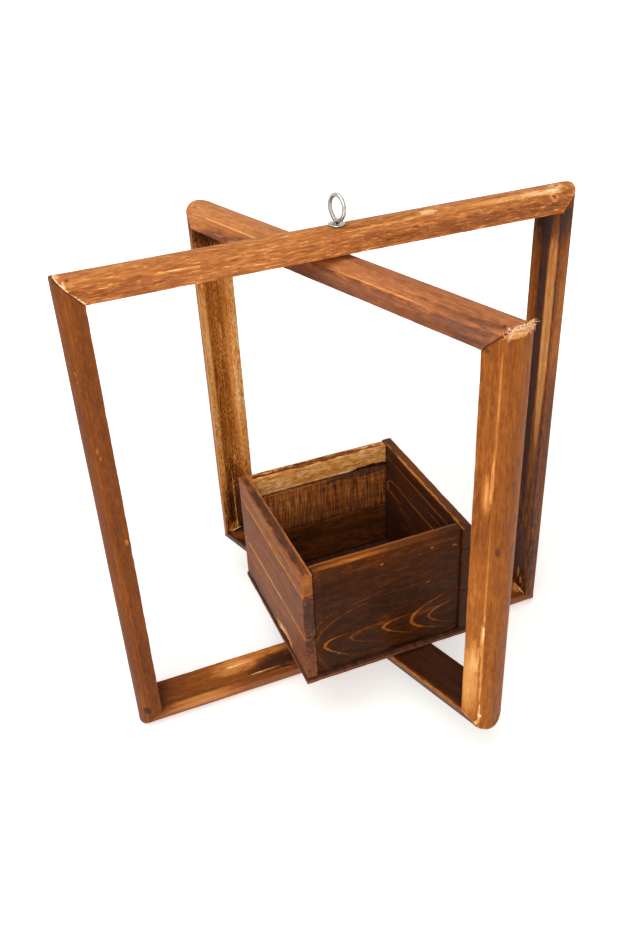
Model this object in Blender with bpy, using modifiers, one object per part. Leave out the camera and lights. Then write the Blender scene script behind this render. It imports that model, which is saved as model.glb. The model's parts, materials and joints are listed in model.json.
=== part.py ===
"""Hanging wooden planter: two crossing mitred frames, a square box and a screw eye.

The outer frame stands along the XZ plane. The inner frame stands inside it and swivels about the
Z axis, which runs through the screw eye above and the base screw below. The box is screwed down
over the inner frame's bottom rail. The origin is the inside top of the eye's ring.
Lengths are in metres and +Z is up.
"""

import math

import bmesh
import bpy
from mathutils import Matrix, Vector

# Clearances
SEAT_GAP = 0.0003            # between pieces that touch
HOLE_CLEARANCE = 0.0003      # round a brad or a shank, on the radius
SWING_CLEARANCE = 0.0008     # from the inner frame's leg to the outer one's as they pass

# Moulding: relieved half-round with one planed side
MOULD_WIDTH = 0.038          # along the frame's normal
MOULD_DEPTH = 0.019          # from the inner face to the crown
PLANED_DEPTH = 0.013         # how far out the planed side reaches
PLANED_LEAN = 0.005          # how far the planed side leans in over that depth
ROUND_SIDE_DEPTH = 0.011     # where the crown meets the round side
ROUND_SIDE_LEAN = 0.0015
ROUND_SIDE_RADIUS = 0.004    # softens that meeting
LAND_WIDTH = 0.007           # flat strip along each edge of the inner face
HOLLOW_DEPTH = 0.0025        # relief between the two lands
TOP_PLANING = 0.0025         # planed off each frame's top and rounded again once it was joined
TOP_PLANED_DEPTH = 0.0112    # how far out the planed side still reaches there

# Frames, measured between inner faces
OUTER_OPENING_WIDTH = 0.368
OUTER_OPENING_HEIGHT = 0.384
FRAME_ANGLE = math.radians(-72.0)    # inner frame against the outer one, as it was photographed
EYE_OFFSET = 0.003           # the swivel's axis to the right of the frames' middle
TOP_PLAY = 0.0035            # air between the two top rails

# Screw eye and washer
EYE_WIRE = 0.0032
EYE_HALF_WIDTH = 0.0072      # of the oval ring, to the middle of the wire
EYE_HALF_HEIGHT = 0.0094
EYE_RING_START = math.radians(-46.0)   # where the neck runs into the ring
EYE_RING_END = math.radians(195.0)     # from here the wire runs straight down to its free end
EYE_RING_SHIFT = 0.0015      # the ring stands off the shank to the side that it starts on
EYE_SPLAY = (-0.0008, 0.0013)          # off the ring's plane where the ring starts and ends
EYE_FREE_END = (-0.0024, 0.0024, 0.0013)   # sideways, off the plane and above the washer
EYE_TURN = math.radians(-63.0)
EYE_BITE = 0.0125            # shank length inside the inner frame's top rail
EYE_NECK_REACH = 0.40        # how far the bends reach, as a share of their length
EYE_POINT = 0.005            # tapered end of the shank
EYE_POINT_SHARE = 0.25       # thickness of the point's tip against the wire's
WASHER_DIAMETER = 0.0128
WASHER_HOLE = 0.0050         # loose on the shank
WASHER_SHIFT = 0.0008        # and slid to the right as far as its hole lets it
WASHER_THICKNESS = 0.001
WASHER_EDGE = 0.0003         # rounded upper edge

# Spacer and base screw
SPACER_DIAMETER = 0.032
SPACER_HEIGHT = 0.025
SCREW_SHANK = 0.0042
SCREW_HEAD_DIAMETER = 0.0095
SCREW_HEAD_HEIGHT = 0.0030
SCREW_BITE = 0.013           # length inside the outer frame's bottom rail
SCREW_POINT = 0.006

# Box
BOX_WIDTH = 0.151            # outside, along the outer frame
BOX_DEPTH = 0.155            # outside, along the side walls
BOX_HEIGHT = 0.115           # base board included
BOX_SHIFT_X = 0.003          # the box stands to the right of the swivel's axis
BOX_SHIFT_Y = -0.0045        # and forward of it
WALL_THICKNESS = 0.0095
BASE_THICKNESS = 0.005
BASE_PROUD = 0.001           # base board past the walls, on each side
WALL_INSET = 0.002           # front and back wall behind the side walls' ends
COURSE_HEIGHT = 0.044        # full board in a wall; the top course takes what is left
BOARD_EASE = 0.0008          # eased edges

# Brads
BRAD_DIAMETER = 0.0016
BRAD_HEAD_DIAMETER = 0.0022
BRAD_HEAD_HEIGHT = 0.0008
BRAD_POINT = 0.0024          # tapered end
BRAD_SET = 0.0010            # head below the surface
FRAME_BRAD_LENGTH = 0.030
FRAME_BRAD_SPREAD = 0.014    # between the two brads of a corner
FRAME_BRAD_INSET = 0.008     # from the leg's inner face
WALL_BRAD_LENGTH = 0.025
BASE_BRAD_LENGTH = 0.018

# Facets of round forms
CROWN_STEPS = 6              # from the crown's middle to each side
SOFTENING_STEPS = 3
TURNED_STEPS = 24
BRAD_STEPS = 8
HOLE_STEPS = 10
EYE_NECK_STEPS = 8
EYE_RING_STEPS = 22
EYE_TAIL_STEPS = 6

# Places worked out from the sizes above
RING_BOTTOM_Z = -2.0 * EYE_HALF_HEIGHT
RING_CENTRE_Z = EYE_WIRE / 2.0 - EYE_HALF_HEIGHT * math.sqrt(1.0 - (EYE_RING_SHIFT / EYE_HALF_WIDTH) ** 2)
WASHER_TOP_Z = RING_BOTTOM_Z - SEAT_GAP
OUTER_CROWN_Z = WASHER_TOP_Z - WASHER_THICKNESS - SEAT_GAP
TOP_DEPTH = MOULD_DEPTH - TOP_PLANING   # of the top rails, from the inner face
OUTER_TOP_Z = OUTER_CROWN_Z - TOP_DEPTH
OUTER_BOTTOM_Z = OUTER_TOP_Z - OUTER_OPENING_HEIGHT
INNER_TOP_Z = OUTER_TOP_Z - TOP_PLAY - TOP_DEPTH
INNER_BOTTOM_Z = OUTER_BOTTOM_Z + SPACER_HEIGHT + 2.0 * SEAT_GAP + MOULD_DEPTH
SWING_REACH = EYE_OFFSET * (1.0 + abs(math.cos(FRAME_ANGLE)))   # how far off the axis leans a pass
INNER_OPENING_WIDTH = OUTER_OPENING_WIDTH - 2.0 * (SWING_CLEARANCE + SWING_REACH + MOULD_DEPTH)
INNER_OPENING_HEIGHT = INNER_TOP_Z - INNER_BOTTOM_Z
BOX_BOTTOM_Z = INNER_BOTTOM_Z + SEAT_GAP
BASE_TOP_Z = BOX_BOTTOM_Z + BASE_THICKNESS
WALL_BOTTOM_Z = BASE_TOP_Z + SEAT_GAP
WALL_HEIGHT = BOX_HEIGHT - BASE_THICKNESS - SEAT_GAP

COLLECTION_NAME = "hanging_wooden_planter"
CUTTER_COLLECTION_NAME = "cutters"

# Finish of each kind of piece: colour, roughness, metallic
FINISHES = {
    "outer_moulding": ((0.36, 0.13, 0.045), 0.52, 0.0),
    "inner_moulding": ((0.42, 0.17, 0.055), 0.52, 0.0),
    "side_board": ((0.16, 0.060, 0.030), 0.66, 0.0),
    "back_board": ((0.30, 0.14, 0.045), 0.64, 0.0),
    "front_board": ((0.075, 0.026, 0.014), 0.62, 0.0),
    "base_board": ((0.12, 0.055, 0.035), 0.70, 0.0),
    "spacer_wood": ((0.50, 0.30, 0.14), 0.70, 0.0),
    "bright_zinc": ((0.62, 0.62, 0.60), 0.28, 1.0),
    "brad_steel": ((0.38, 0.36, 0.34), 0.40, 1.0),
}


def clear_scene():
    for item in list(bpy.data.objects):
        bpy.data.objects.remove(item, do_unlink=True)


def make_collection(name):
    collection = bpy.data.collections.new(name)
    bpy.context.scene.collection.children.link(collection)
    return collection


def make_material(name, finish):
    colour, roughness, metallic = FINISHES[finish]
    material = bpy.data.materials.new(name)
    material.use_nodes = True
    shader = material.node_tree.nodes["Principled BSDF"]
    shader.inputs["Base Color"].default_value = (*colour, 1.0)
    shader.inputs["Roughness"].default_value = roughness
    shader.inputs["Metallic"].default_value = metallic
    material.diffuse_color = (*colour, 1.0)
    return material


def add_object(name, mesh, finish, parent=None):
    item = bpy.data.objects.new(name, mesh)
    item.data.materials.append(make_material(name + "_finish", finish))
    bpy.data.collections[COLLECTION_NAME].objects.link(item)
    if parent is not None:
        item.parent = parent
    return item


def add_empty(name, location, turn, parent=None):
    empty = bpy.data.objects.new(name, None)
    empty.empty_display_size = 0.03
    empty.location = location
    empty.rotation_euler = (0.0, 0.0, turn)
    bpy.data.collections[COLLECTION_NAME].objects.link(empty)
    if parent is not None:
        empty.parent = parent
    return empty


def curve_to_mesh(curve_object, mesh_name):
    """Turn a curve object into a closed mesh and remove the curve."""
    bpy.context.view_layer.update()
    evaluated = curve_object.evaluated_get(bpy.context.evaluated_depsgraph_get())
    mesh = bpy.data.meshes.new_from_object(evaluated)
    mesh.name = mesh_name
    mesh.transform(curve_object.matrix_world)
    shape = bmesh.new()
    shape.from_mesh(mesh)
    bmesh.ops.remove_doubles(shape, verts=shape.verts, dist=0.000002)
    bmesh.ops.recalc_face_normals(shape, faces=shape.faces)
    shape.to_mesh(mesh)
    shape.free()
    bpy.data.objects.remove(curve_object, do_unlink=True)
    mesh.materials.clear()
    return mesh


def smooth_round_faces(item, angle=math.radians(30.0)):
    item.data.shade_smooth()
    item.data.set_sharp_from_angle(angle=angle)


def arc(centre, radius, start, end, steps):
    """Points of an arc from angle start to angle end, both ends included."""
    points = []
    for step in range(steps + 1):
        angle = start + (end - start) * step / steps
        points.append((centre[0] + radius * math.cos(angle), centre[1] + radius * math.sin(angle)))
    return points


def crown_arc(crown, side_across, side_depth, steps):
    """Arc from the crown's middle to a side, level at the crown."""
    rise = crown - side_depth
    radius = (side_across ** 2 + rise ** 2) / (2.0 * rise)
    sweep = math.asin(min(1.0, abs(side_across) / radius))
    towards = math.copysign(1.0, side_across)
    return arc((0.0, crown - radius), radius, math.pi / 2.0, math.pi / 2.0 - towards * sweep, steps)


def softened(before, corner, after, radius):
    """A corner replaced by a curve that starts and ends at the given distance from it."""
    corner = Vector(corner)
    start = corner + (Vector(before) - corner).normalized() * radius
    end = corner + (Vector(after) - corner).normalized() * radius
    points = []
    for step in range(SOFTENING_STEPS + 1):
        share = step / SOFTENING_STEPS
        blend = start.lerp(corner, share).lerp(corner.lerp(end, share), share)
        points.append((blend.x, blend.y))
    return points


def crown_line(crown, planed_depth, round_depth):
    """The moulding's rounded face as (across, outward depth), from the planed side to the round one."""
    half = MOULD_WIDTH / 2.0
    planed_side = half - PLANED_LEAN * planed_depth / PLANED_DEPTH
    round_side = half - ROUND_SIDE_LEAN * round_depth / ROUND_SIDE_DEPTH
    near_crown = list(reversed(crown_arc(crown, planed_side, planed_depth, CROWN_STEPS)))
    far_crown = crown_arc(crown, -round_side, round_depth, CROWN_STEPS)[1:]
    heel = (-half, 0.0)
    return near_crown + far_crown[:-2] + softened(far_crown[-2], far_crown[-1], heel, ROUND_SIDE_RADIUS)


def moulding_section():
    """Section of the moulding as (outward depth, across), the planed side at positive across."""
    half = MOULD_WIDTH / 2.0
    inner = [
        (-half + LAND_WIDTH, 0.0),
        (-half + LAND_WIDTH + HOLLOW_DEPTH / 2.0, HOLLOW_DEPTH),
        (half - LAND_WIDTH - HOLLOW_DEPTH / 2.0, HOLLOW_DEPTH),
        (half - LAND_WIDTH, 0.0),
    ]
    rounded = crown_line(MOULD_DEPTH, PLANED_DEPTH, ROUND_SIDE_DEPTH)
    outline = [(half, 0.0)] + rounded + [(-half, 0.0)] + inner
    return [(depth, across) for across, depth in outline]


def moulding_bar(name, length):
    """Moulding along X, centred; outward is +Y and the planed side is +Z."""
    curve = bpy.data.curves.new(name + "_section", "CURVE")
    curve.dimensions = "2D"
    curve.fill_mode = "BOTH"
    curve.extrude = length / 2.0
    spline = curve.splines.new("POLY")
    outline = moulding_section()
    spline.points.add(len(outline) - 1)
    for point, (depth, across) in zip(spline.points, outline):
        point.co = (depth, across, 0.0, 1.0)
    spline.use_cyclic_u = True
    bar = bpy.data.objects.new(name + "_bar", curve)
    # the section's own axes (depth, across, along) become (Y, Z, X)
    bar.matrix_world = Matrix(((0, 0, 1, 0), (1, 0, 0, 0), (0, 1, 0, 0), (0, 0, 0, 1)))
    bpy.data.collections[COLLECTION_NAME].objects.link(bar)
    return curve_to_mesh(bar, name)


def mitre_ends(mesh, opening):
    """Cut both ends at 45 degrees so that the inner face is as long as the opening."""
    shape = bmesh.new()
    shape.from_mesh(mesh)
    for end in (-1.0, 1.0):
        plane_point = Vector((end * (opening / 2.0 - SEAT_GAP / 2.0), 0.0, 0.0))
        plane_normal = Vector((end, -1.0, 0.0)).normalized()
        geometry = shape.verts[:] + shape.edges[:] + shape.faces[:]
        cut = bmesh.ops.bisect_plane(
            shape, geom=geometry, dist=0.000001, plane_co=plane_point, plane_no=plane_normal, clear_outer=True
        )
        rim = [part for part in cut["geom_cut"] if isinstance(part, bmesh.types.BMEdge)]
        bmesh.ops.contextual_create(shape, geom=rim)
    bmesh.ops.recalc_face_normals(shape, faces=shape.faces)
    shape.to_mesh(mesh)
    shape.free()


def round_top(mesh, level):
    """Plane a frame's top down and round it again: the level is the top rail's inner face."""
    line = crown_line(TOP_DEPTH, TOP_PLANED_DEPTH, ROUND_SIDE_DEPTH - TOP_PLANING)
    places = [Vector((0.0, -across, level + depth)) for across, depth in line]
    shape = bmesh.new()
    shape.from_mesh(mesh)
    for first, second in zip(places, places[1:]):
        along = second - first
        geometry = shape.verts[:] + shape.edges[:] + shape.faces[:]
        cut = bmesh.ops.bisect_plane(
            shape,
            geom=geometry,
            dist=0.000001,
            plane_co=first,
            plane_no=Vector((0.0, -along.z, along.y)).normalized(),
            clear_outer=True,
        )
        rim = [part for part in cut["geom_cut"] if isinstance(part, bmesh.types.BMEdge)]
        if rim:
            bmesh.ops.contextual_create(shape, geom=rim)
    bmesh.ops.recalc_face_normals(shape, faces=shape.faces)
    shape.to_mesh(mesh)
    shape.free()


def drill(target, holes):
    """Bore round holes, given as (start, end, diameter) in the target's own space."""
    shape = bmesh.new()
    for start, end, diameter in holes:
        start = Vector(start)
        end = Vector(end)
        along = end - start
        turn = along.to_track_quat("Z", "Y").to_matrix().to_4x4()
        bmesh.ops.create_cone(
            shape,
            cap_ends=True,
            segments=HOLE_STEPS,
            radius1=diameter / 2.0,
            radius2=diameter / 2.0,
            depth=along.length,
            matrix=Matrix.Translation((start + end) / 2.0) @ turn,
        )
    mesh = bpy.data.meshes.new(target.name + "_holes")
    shape.to_mesh(mesh)
    shape.free()
    cutter = bpy.data.objects.new(target.name + "_holes", mesh)
    bpy.data.collections[CUTTER_COLLECTION_NAME].objects.link(cutter)
    cutter.parent = target
    cutter.hide_render = True
    cutter.display_type = "WIRE"
    bore = target.modifiers.new("bore", "BOOLEAN")
    bore.operation = "DIFFERENCE"
    bore.solver = "EXACT"
    bore.object = cutter


def turned(name, outline, finish, parent=None, steps=TURNED_STEPS):
    """A turned piece: the outline runs top to bottom at +X and spins about Z."""
    mesh = bpy.data.meshes.new(name)
    shape = bmesh.new()
    corners = [shape.verts.new((radius, 0.0, height)) for radius, height in outline]
    for first, second in zip(corners, corners[1:]):
        shape.edges.new((first, second))
    shape.to_mesh(mesh)
    shape.free()
    item = add_object(name, mesh, finish, parent)
    screw = item.modifiers.new("turn", "SCREW")
    screw.axis = "Z"
    screw.steps = steps
    screw.render_steps = steps
    screw.use_merge_vertices = True
    screw.merge_threshold = 0.00001
    screw.use_smooth_shade = True
    return item


def brad(name, head, point, parent):
    """A finishing brad from the top of its head to its point."""
    head = Vector(head)
    point = Vector(point)
    direction = (point - head).normalized()
    length = (point - head).length
    radius = BRAD_DIAMETER / 2.0
    outline = [
        (0.0, 0.0),
        (BRAD_HEAD_DIAMETER / 2.0, 0.0),
        (radius, -BRAD_HEAD_HEIGHT),
        (radius, -length + BRAD_POINT),
        (0.0, -length),
    ]
    item = turned(name, outline, "brad_steel", parent, BRAD_STEPS)
    item.location = head
    item.rotation_mode = "QUATERNION"
    item.rotation_quaternion = (-direction).to_track_quat("Z", "Y")
    return item


def brad_hole_diameter():
    return BRAD_HEAD_DIAMETER + 2.0 * HOLE_CLEARANCE


def surface_depth(across, at_top):
    """Outward depth of a rail's crown at a place across it."""
    if at_top:
        line = crown_line(TOP_DEPTH, TOP_PLANED_DEPTH, ROUND_SIDE_DEPTH - TOP_PLANING)
    else:
        line = crown_line(MOULD_DEPTH, PLANED_DEPTH, ROUND_SIDE_DEPTH)
    for (first, high), (second, low) in zip(line, line[1:]):
        if second <= across <= first:
            return high + (low - high) * (first - across) / (first - second)
    raise ValueError("no crown at %.4f m across" % across)


def frame_members(prefix, names, width, height, parent):
    """Four mitred members round an opening whose middle is at the parent empty.

    The names are those of the top rail, right leg, bottom rail and left leg. Each member is the
    same bar, turned a quarter about the frame's normal. Two brads go from each rail into each leg.
    """
    quarter_turns = (0, 1, 2, 3)
    reaches = (height / 2.0, width / 2.0, height / 2.0, width / 2.0)
    openings = (width, height, width, height)
    stand_up = Matrix.Rotation(math.pi / 2.0, 4, "X")
    members = []
    for name, turns, reach, opening in zip(names, quarter_turns, reaches, openings):
        full_name = prefix + "_" + name
        mesh = moulding_bar(full_name, opening + 4.0 * MOULD_DEPTH)
        mitre_ends(mesh, opening)
        mesh.transform(Matrix.Translation((0.0, reach, 0.0)))
        mesh.transform(stand_up)
        mesh.transform(Matrix.Rotation(math.pi / 2.0 * turns, 4, "Y"))
        if turns != 2:
            round_top(mesh, height / 2.0)
        member = add_object(full_name, mesh, prefix.split("_")[0] + "_moulding", parent)
        smooth_round_faces(member, math.radians(24.0))
        members.append(member)
    holes = {member.name: [] for member in members}
    for rail, side in ((0, 1.0), (2, -1.0)):
        for leg, end in ((1, 1.0), (3, -1.0)):
            corner = members[rail].name + "_brad_" + names[leg].split("_")[0]
            for count, across in enumerate((-FRAME_BRAD_SPREAD / 2.0, FRAME_BRAD_SPREAD / 2.0), start=1):
                x = end * (width / 2.0 + FRAME_BRAD_INSET)
                surface = height / 2.0 + surface_depth(across, rail == 0)
                head = Vector((x, -across, side * (surface - BRAD_SET)))
                point = head - Vector((0.0, 0.0, side * FRAME_BRAD_LENGTH))
                brad("%s_%d" % (corner, count), head, point, parent)
                top = head + Vector((0.0, 0.0, side * 2.0 * MOULD_DEPTH))
                foot = point - Vector((0.0, 0.0, side * HOLE_CLEARANCE))
                hole = (top, foot, brad_hole_diameter())
                holes[members[rail].name].append(hole)
                holes[members[leg].name].append(hole)
    return members, holes


def upright_hole(axis, high, low, diameter):
    return (Vector((axis.x, axis.y, high)), Vector((axis.x, axis.y, low)), diameter)


def build_frames():
    """The two frames share a middle, and the shanks on the swivel's axis go through their rails."""
    eye_hole = EYE_WIRE + 2.0 * HOLE_CLEARANCE
    screw_hole = SCREW_SHANK + 2.0 * HOLE_CLEARANCE
    outer_mid = (OUTER_TOP_Z + OUTER_BOTTOM_Z) / 2.0
    inner_mid = (INNER_TOP_Z + INNER_BOTTOM_Z) / 2.0
    # where the axis lies in each frame's own plane
    outer_axis = Vector((EYE_OFFSET, 0.0, 0.0))
    inner_axis = Matrix.Rotation(-FRAME_ANGLE, 3, "Z") @ outer_axis
    outer = add_empty("outer_frame", (-EYE_OFFSET, 0.0, outer_mid), 0.0)
    swivel = add_empty("inner_frame_swivel", (0.0, 0.0, inner_mid), FRAME_ANGLE)
    inner = add_empty("inner_frame", -inner_axis, 0.0, swivel)
    outer_names = ("top_rail", "right_leg", "bottom_rail", "left_leg")
    inner_names = ("top_rail", "front_leg", "bottom_rail", "back_leg")
    outer_members, outer_holes = frame_members(
        "outer", outer_names, OUTER_OPENING_WIDTH, OUTER_OPENING_HEIGHT, outer
    )
    inner_members, inner_holes = frame_members(
        "inner", inner_names, INNER_OPENING_WIDTH, INNER_OPENING_HEIGHT, inner
    )
    past = 2.0 * MOULD_DEPTH
    outer_half = OUTER_OPENING_HEIGHT / 2.0
    inner_half = INNER_OPENING_HEIGHT / 2.0
    # the eye's shank goes through the outer top rail and ends inside the inner one
    eye_stop = inner_half + TOP_DEPTH - EYE_BITE - SEAT_GAP
    through = upright_hole(outer_axis, outer_half + past, outer_half - past, eye_hole)
    blind = upright_hole(inner_axis, inner_half + past, eye_stop, eye_hole)
    outer_holes["outer_top_rail"].append(through)
    inner_holes["inner_top_rail"].append(blind)
    # the base screw goes through the inner bottom rail and ends inside the outer one
    screw_stop = -outer_half - HOLLOW_DEPTH - SCREW_BITE - SEAT_GAP
    through = upright_hole(inner_axis, -inner_half + past, -inner_half - past, screw_hole)
    blind = upright_hole(outer_axis, -outer_half + past, screw_stop, screw_hole)
    inner_holes["inner_bottom_rail"].append(through)
    outer_holes["outer_bottom_rail"].append(blind)
    for member in outer_members:
        drill(member, outer_holes[member.name])
    for member in inner_members:
        drill(member, inner_holes[member.name])


def build_spacer():
    radius = SPACER_DIAMETER / 2.0
    hole = SCREW_SHANK / 2.0 + HOLE_CLEARANCE
    bottom = OUTER_BOTTOM_Z + SEAT_GAP
    top = bottom + SPACER_HEIGHT
    ease = BOARD_EASE
    outline = [
        (hole, top),
        (radius - ease, top),
        (radius, top - ease),
        (radius, bottom + ease),
        (radius - ease, bottom),
        (hole, bottom),
        (hole, top),
    ]
    turned("rail_spacer", outline, "spacer_wood")


def build_base_screw():
    """Round-headed screw from the box's floor into the outer frame's bottom rail."""
    seat = BASE_TOP_Z + SEAT_GAP
    tip = OUTER_BOTTOM_Z - HOLLOW_DEPTH - SCREW_BITE
    shank = SCREW_SHANK / 2.0
    head = SCREW_HEAD_DIAMETER / 2.0
    quarter = arc((0.0, 0.0), 1.0, math.pi / 2.0, 0.0, CROWN_STEPS)
    crown = [(head * across, seat + SCREW_HEAD_HEIGHT * height) for across, height in quarter]
    crown[0] = (0.0, seat + SCREW_HEAD_HEIGHT)
    outline = crown + [(shank, seat), (shank, tip + SCREW_POINT), (0.0, tip)]
    turned("base_screw", outline, "bright_zinc")


def build_washer():
    hole = WASHER_HOLE / 2.0
    radius = WASHER_DIAMETER / 2.0
    bottom = WASHER_TOP_Z - WASHER_THICKNESS
    outline = [
        (hole, WASHER_TOP_Z),
        (radius - WASHER_EDGE, WASHER_TOP_Z),
        (radius, WASHER_TOP_Z - WASHER_EDGE),
        (radius, bottom),
        (hole, bottom),
        (hole, WASHER_TOP_Z),
    ]
    washer = turned("eye_washer", outline, "bright_zinc")
    washer.location.x = WASHER_SHIFT


def ring_point(angle):
    """A point of the ring's centre line: along the ring's plane, off it and up."""
    share = (angle - EYE_RING_START) / (EYE_RING_END - EYE_RING_START)
    off = EYE_SPLAY[0] + (EYE_SPLAY[1] - EYE_SPLAY[0]) * share
    along = EYE_RING_SHIFT + EYE_HALF_WIDTH * math.cos(angle)
    return Vector((along, off, RING_CENTRE_Z + EYE_HALF_HEIGHT * math.sin(angle)))


def eye_path():
    """Centre line of the eye: up the shank, out to one side, round the ring and back down to it."""
    tip = INNER_TOP_Z + TOP_DEPTH - EYE_BITE
    foot = Vector((0.0, 0.0, WASHER_TOP_Z + SEAT_GAP))
    start = ring_point(EYE_RING_START)
    along = (ring_point(EYE_RING_START + 0.01) - start).normalized()
    reach = (start - foot).length * EYE_NECK_REACH
    above = foot + Vector((0.0, 0.0, reach))
    before = start - along * reach
    points = [Vector((0.0, 0.0, tip)), Vector((0.0, 0.0, tip + EYE_POINT))]
    for step in range(EYE_NECK_STEPS + 1):
        share = step / EYE_NECK_STEPS
        first = foot.lerp(above, share).lerp(above.lerp(before, share), share)
        second = above.lerp(before, share).lerp(before.lerp(start, share), share)
        points.append(first.lerp(second, share))
    sweep = EYE_RING_END - EYE_RING_START
    for step in range(1, EYE_RING_STEPS + 1):
        points.append(ring_point(EYE_RING_START + sweep * step / EYE_RING_STEPS))
    last = points[-1]
    end = Vector(EYE_FREE_END) + Vector((0.0, 0.0, WASHER_TOP_Z))
    along = (ring_point(EYE_RING_END) - ring_point(EYE_RING_END - 0.01)).normalized()
    below = last + along * (end - last).length * EYE_NECK_REACH
    for step in range(1, EYE_TAIL_STEPS + 1):
        share = step / EYE_TAIL_STEPS
        points.append(last.lerp(below, share).lerp(below.lerp(end, share), share))
    return points


def build_eye():
    """Screw eye: one bent wire whose shank ends in a point."""
    curve = bpy.data.curves.new("screw_eye_path", "CURVE")
    curve.dimensions = "3D"
    curve.fill_mode = "FULL"
    curve.bevel_depth = EYE_WIRE / 2.0
    curve.bevel_resolution = 2
    curve.use_fill_caps = True
    spline = curve.splines.new("POLY")
    path = eye_path()
    spline.points.add(len(path) - 1)
    for index, (point, place) in enumerate(zip(spline.points, path)):
        point.co = (*place, 1.0)
        point.radius = EYE_POINT_SHARE if index == 0 else 1.0
    eye = bpy.data.objects.new("screw_eye_wire", curve)
    eye.rotation_euler = (0.0, 0.0, EYE_TURN)
    bpy.data.collections[COLLECTION_NAME].objects.link(eye)
    mesh = curve_to_mesh(eye, "screw_eye")
    item = add_object("screw_eye", mesh, "bright_zinc")
    smooth_round_faces(item, math.radians(60.0))


def board(name, size, centre, finish, parent, ease=BOARD_EASE):
    """A sawn board with eased edges."""
    shape = bmesh.new()
    bmesh.ops.create_cube(shape, size=1.0, matrix=Matrix.Diagonal((*size, 1.0)))
    mesh = bpy.data.meshes.new(name)
    shape.to_mesh(mesh)
    shape.free()
    item = add_object(name, mesh, finish, parent)
    item.location = centre
    bevel = item.modifiers.new("eased_edges", "BEVEL")
    bevel.width = ease
    bevel.segments = 1
    bevel.limit_method = "ANGLE"
    return item


def course_heights():
    """Heights of the wall's courses from the bottom up; the top one is what is left."""
    heights = []
    left = WALL_HEIGHT
    while left > 1.25 * COURSE_HEIGHT:
        heights.append(COURSE_HEIGHT)
        left -= COURSE_HEIGHT
    heights.append(left)
    return heights


def build_box():
    """Side walls run the full depth; the front and back walls stand between them."""
    box = add_empty("planter_box", (BOX_SHIFT_X, BOX_SHIFT_Y, 0.0), 0.0)
    inner_width = BOX_WIDTH - 2.0 * (WALL_THICKNESS + SEAT_GAP)
    side_x = (BOX_WIDTH - WALL_THICKNESS) / 2.0
    end_y = BOX_DEPTH / 2.0 - WALL_INSET - WALL_THICKNESS / 2.0
    side_holes = {}
    end_holes = {}
    boards = {}

    front = "front_wall_board"
    front_centre = (0.0, -end_y, WALL_BOTTOM_Z + WALL_HEIGHT / 2.0)
    boards[front] = board(front, (inner_width, WALL_THICKNESS, WALL_HEIGHT), front_centre, "front_board", box)
    end_holes[front] = []

    bottom = WALL_BOTTOM_Z
    for course, height in enumerate(course_heights(), start=1):
        centre_z = bottom + height / 2.0
        back = "back_wall_board_%d" % course
        size = (inner_width, WALL_THICKNESS, height - SEAT_GAP)
        boards[back] = board(back, size, (0.0, end_y, centre_z), "back_board", box)
        end_holes[back] = []
        for side, sign in (("left", -1.0), ("right", 1.0)):
            name = "%s_wall_board_%d" % (side, course)
            size = (WALL_THICKNESS, BOX_DEPTH, height - SEAT_GAP)
            boards[name] = board(name, size, (sign * side_x, 0.0, centre_z), "side_board", box)
            side_holes[name] = []
            for end, end_name, target in ((-1.0, "front", front), (1.0, "back", back)):
                head = Vector((sign * (BOX_WIDTH / 2.0 - BRAD_SET), end * end_y, centre_z))
                point = head - Vector((sign * WALL_BRAD_LENGTH, 0.0, 0.0))
                brad("%s_wall_brad_%s_%d" % (side, end_name, course), head, point, box)
                outside = head + Vector((sign * WALL_THICKNESS, 0.0, 0.0))
                stop = point - Vector((sign * HOLE_CLEARANCE, 0.0, 0.0))
                hole = (outside, stop, brad_hole_diameter())
                side_holes[name].append(hole)
                end_holes[target].append(hole)
        bottom += height

    base_size = (BOX_WIDTH + 2.0 * BASE_PROUD, BOX_DEPTH + 2.0 * BASE_PROUD, BASE_THICKNESS)
    base_centre = (0.0, 0.0, BOX_BOTTOM_Z + BASE_THICKNESS / 2.0)
    base = board("base_board", base_size, base_centre, "base_board", box)
    base_holes = []
    for side, sign in (("left", -1.0), ("right", 1.0)):
        for end, end_name in ((-1.0, "front"), (1.0, "back")):
            y = end * BOX_DEPTH / 4.0
            head = Vector((sign * side_x, y, BOX_BOTTOM_Z + BRAD_SET))
            point = head + Vector((0.0, 0.0, BASE_BRAD_LENGTH))
            brad("base_brad_%s_%s" % (side, end_name), head, point, box)
            below = head - Vector((0.0, 0.0, BASE_THICKNESS))
            stop = point + Vector((0.0, 0.0, HOLE_CLEARANCE))
            hole = (below, stop, brad_hole_diameter())
            base_holes.append(hole)
            side_holes["%s_wall_board_1" % side].append(hole)
    # the base screw stands on the swivel's axis, beside and behind the box's middle
    axis = Vector((-BOX_SHIFT_X, -BOX_SHIFT_Y, 0.0))
    screw_hole = SCREW_SHANK + 2.0 * HOLE_CLEARANCE
    base_holes.append(upright_hole(axis, BASE_TOP_Z + BASE_THICKNESS, BOX_BOTTOM_Z - BASE_THICKNESS, screw_hole))

    for name, holes in {**side_holes, **end_holes, base.name: base_holes}.items():
        item = base if name == base.name else boards[name]
        centre = Vector(item.location)
        local = [(Vector(start) - centre, Vector(end) - centre, diameter) for start, end, diameter in holes]
        drill(item, local)


def main():
    clear_scene()
    make_collection(COLLECTION_NAME)
    make_collection(CUTTER_COLLECTION_NAME)
    build_frames()
    build_spacer()
    build_base_screw()
    build_washer()
    build_eye()
    build_box()
    bpy.context.view_layer.update()


if __name__ == "__main__":
    main()
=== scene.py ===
import json
import math
import random
from collections import namedtuple

import bmesh
import bpy
from bpy.props import FloatProperty, FloatVectorProperty, IntProperty, PointerProperty
from bpy.types import Operator, Panel, PropertyGroup
from mathutils import Matrix, Vector, noise


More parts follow.
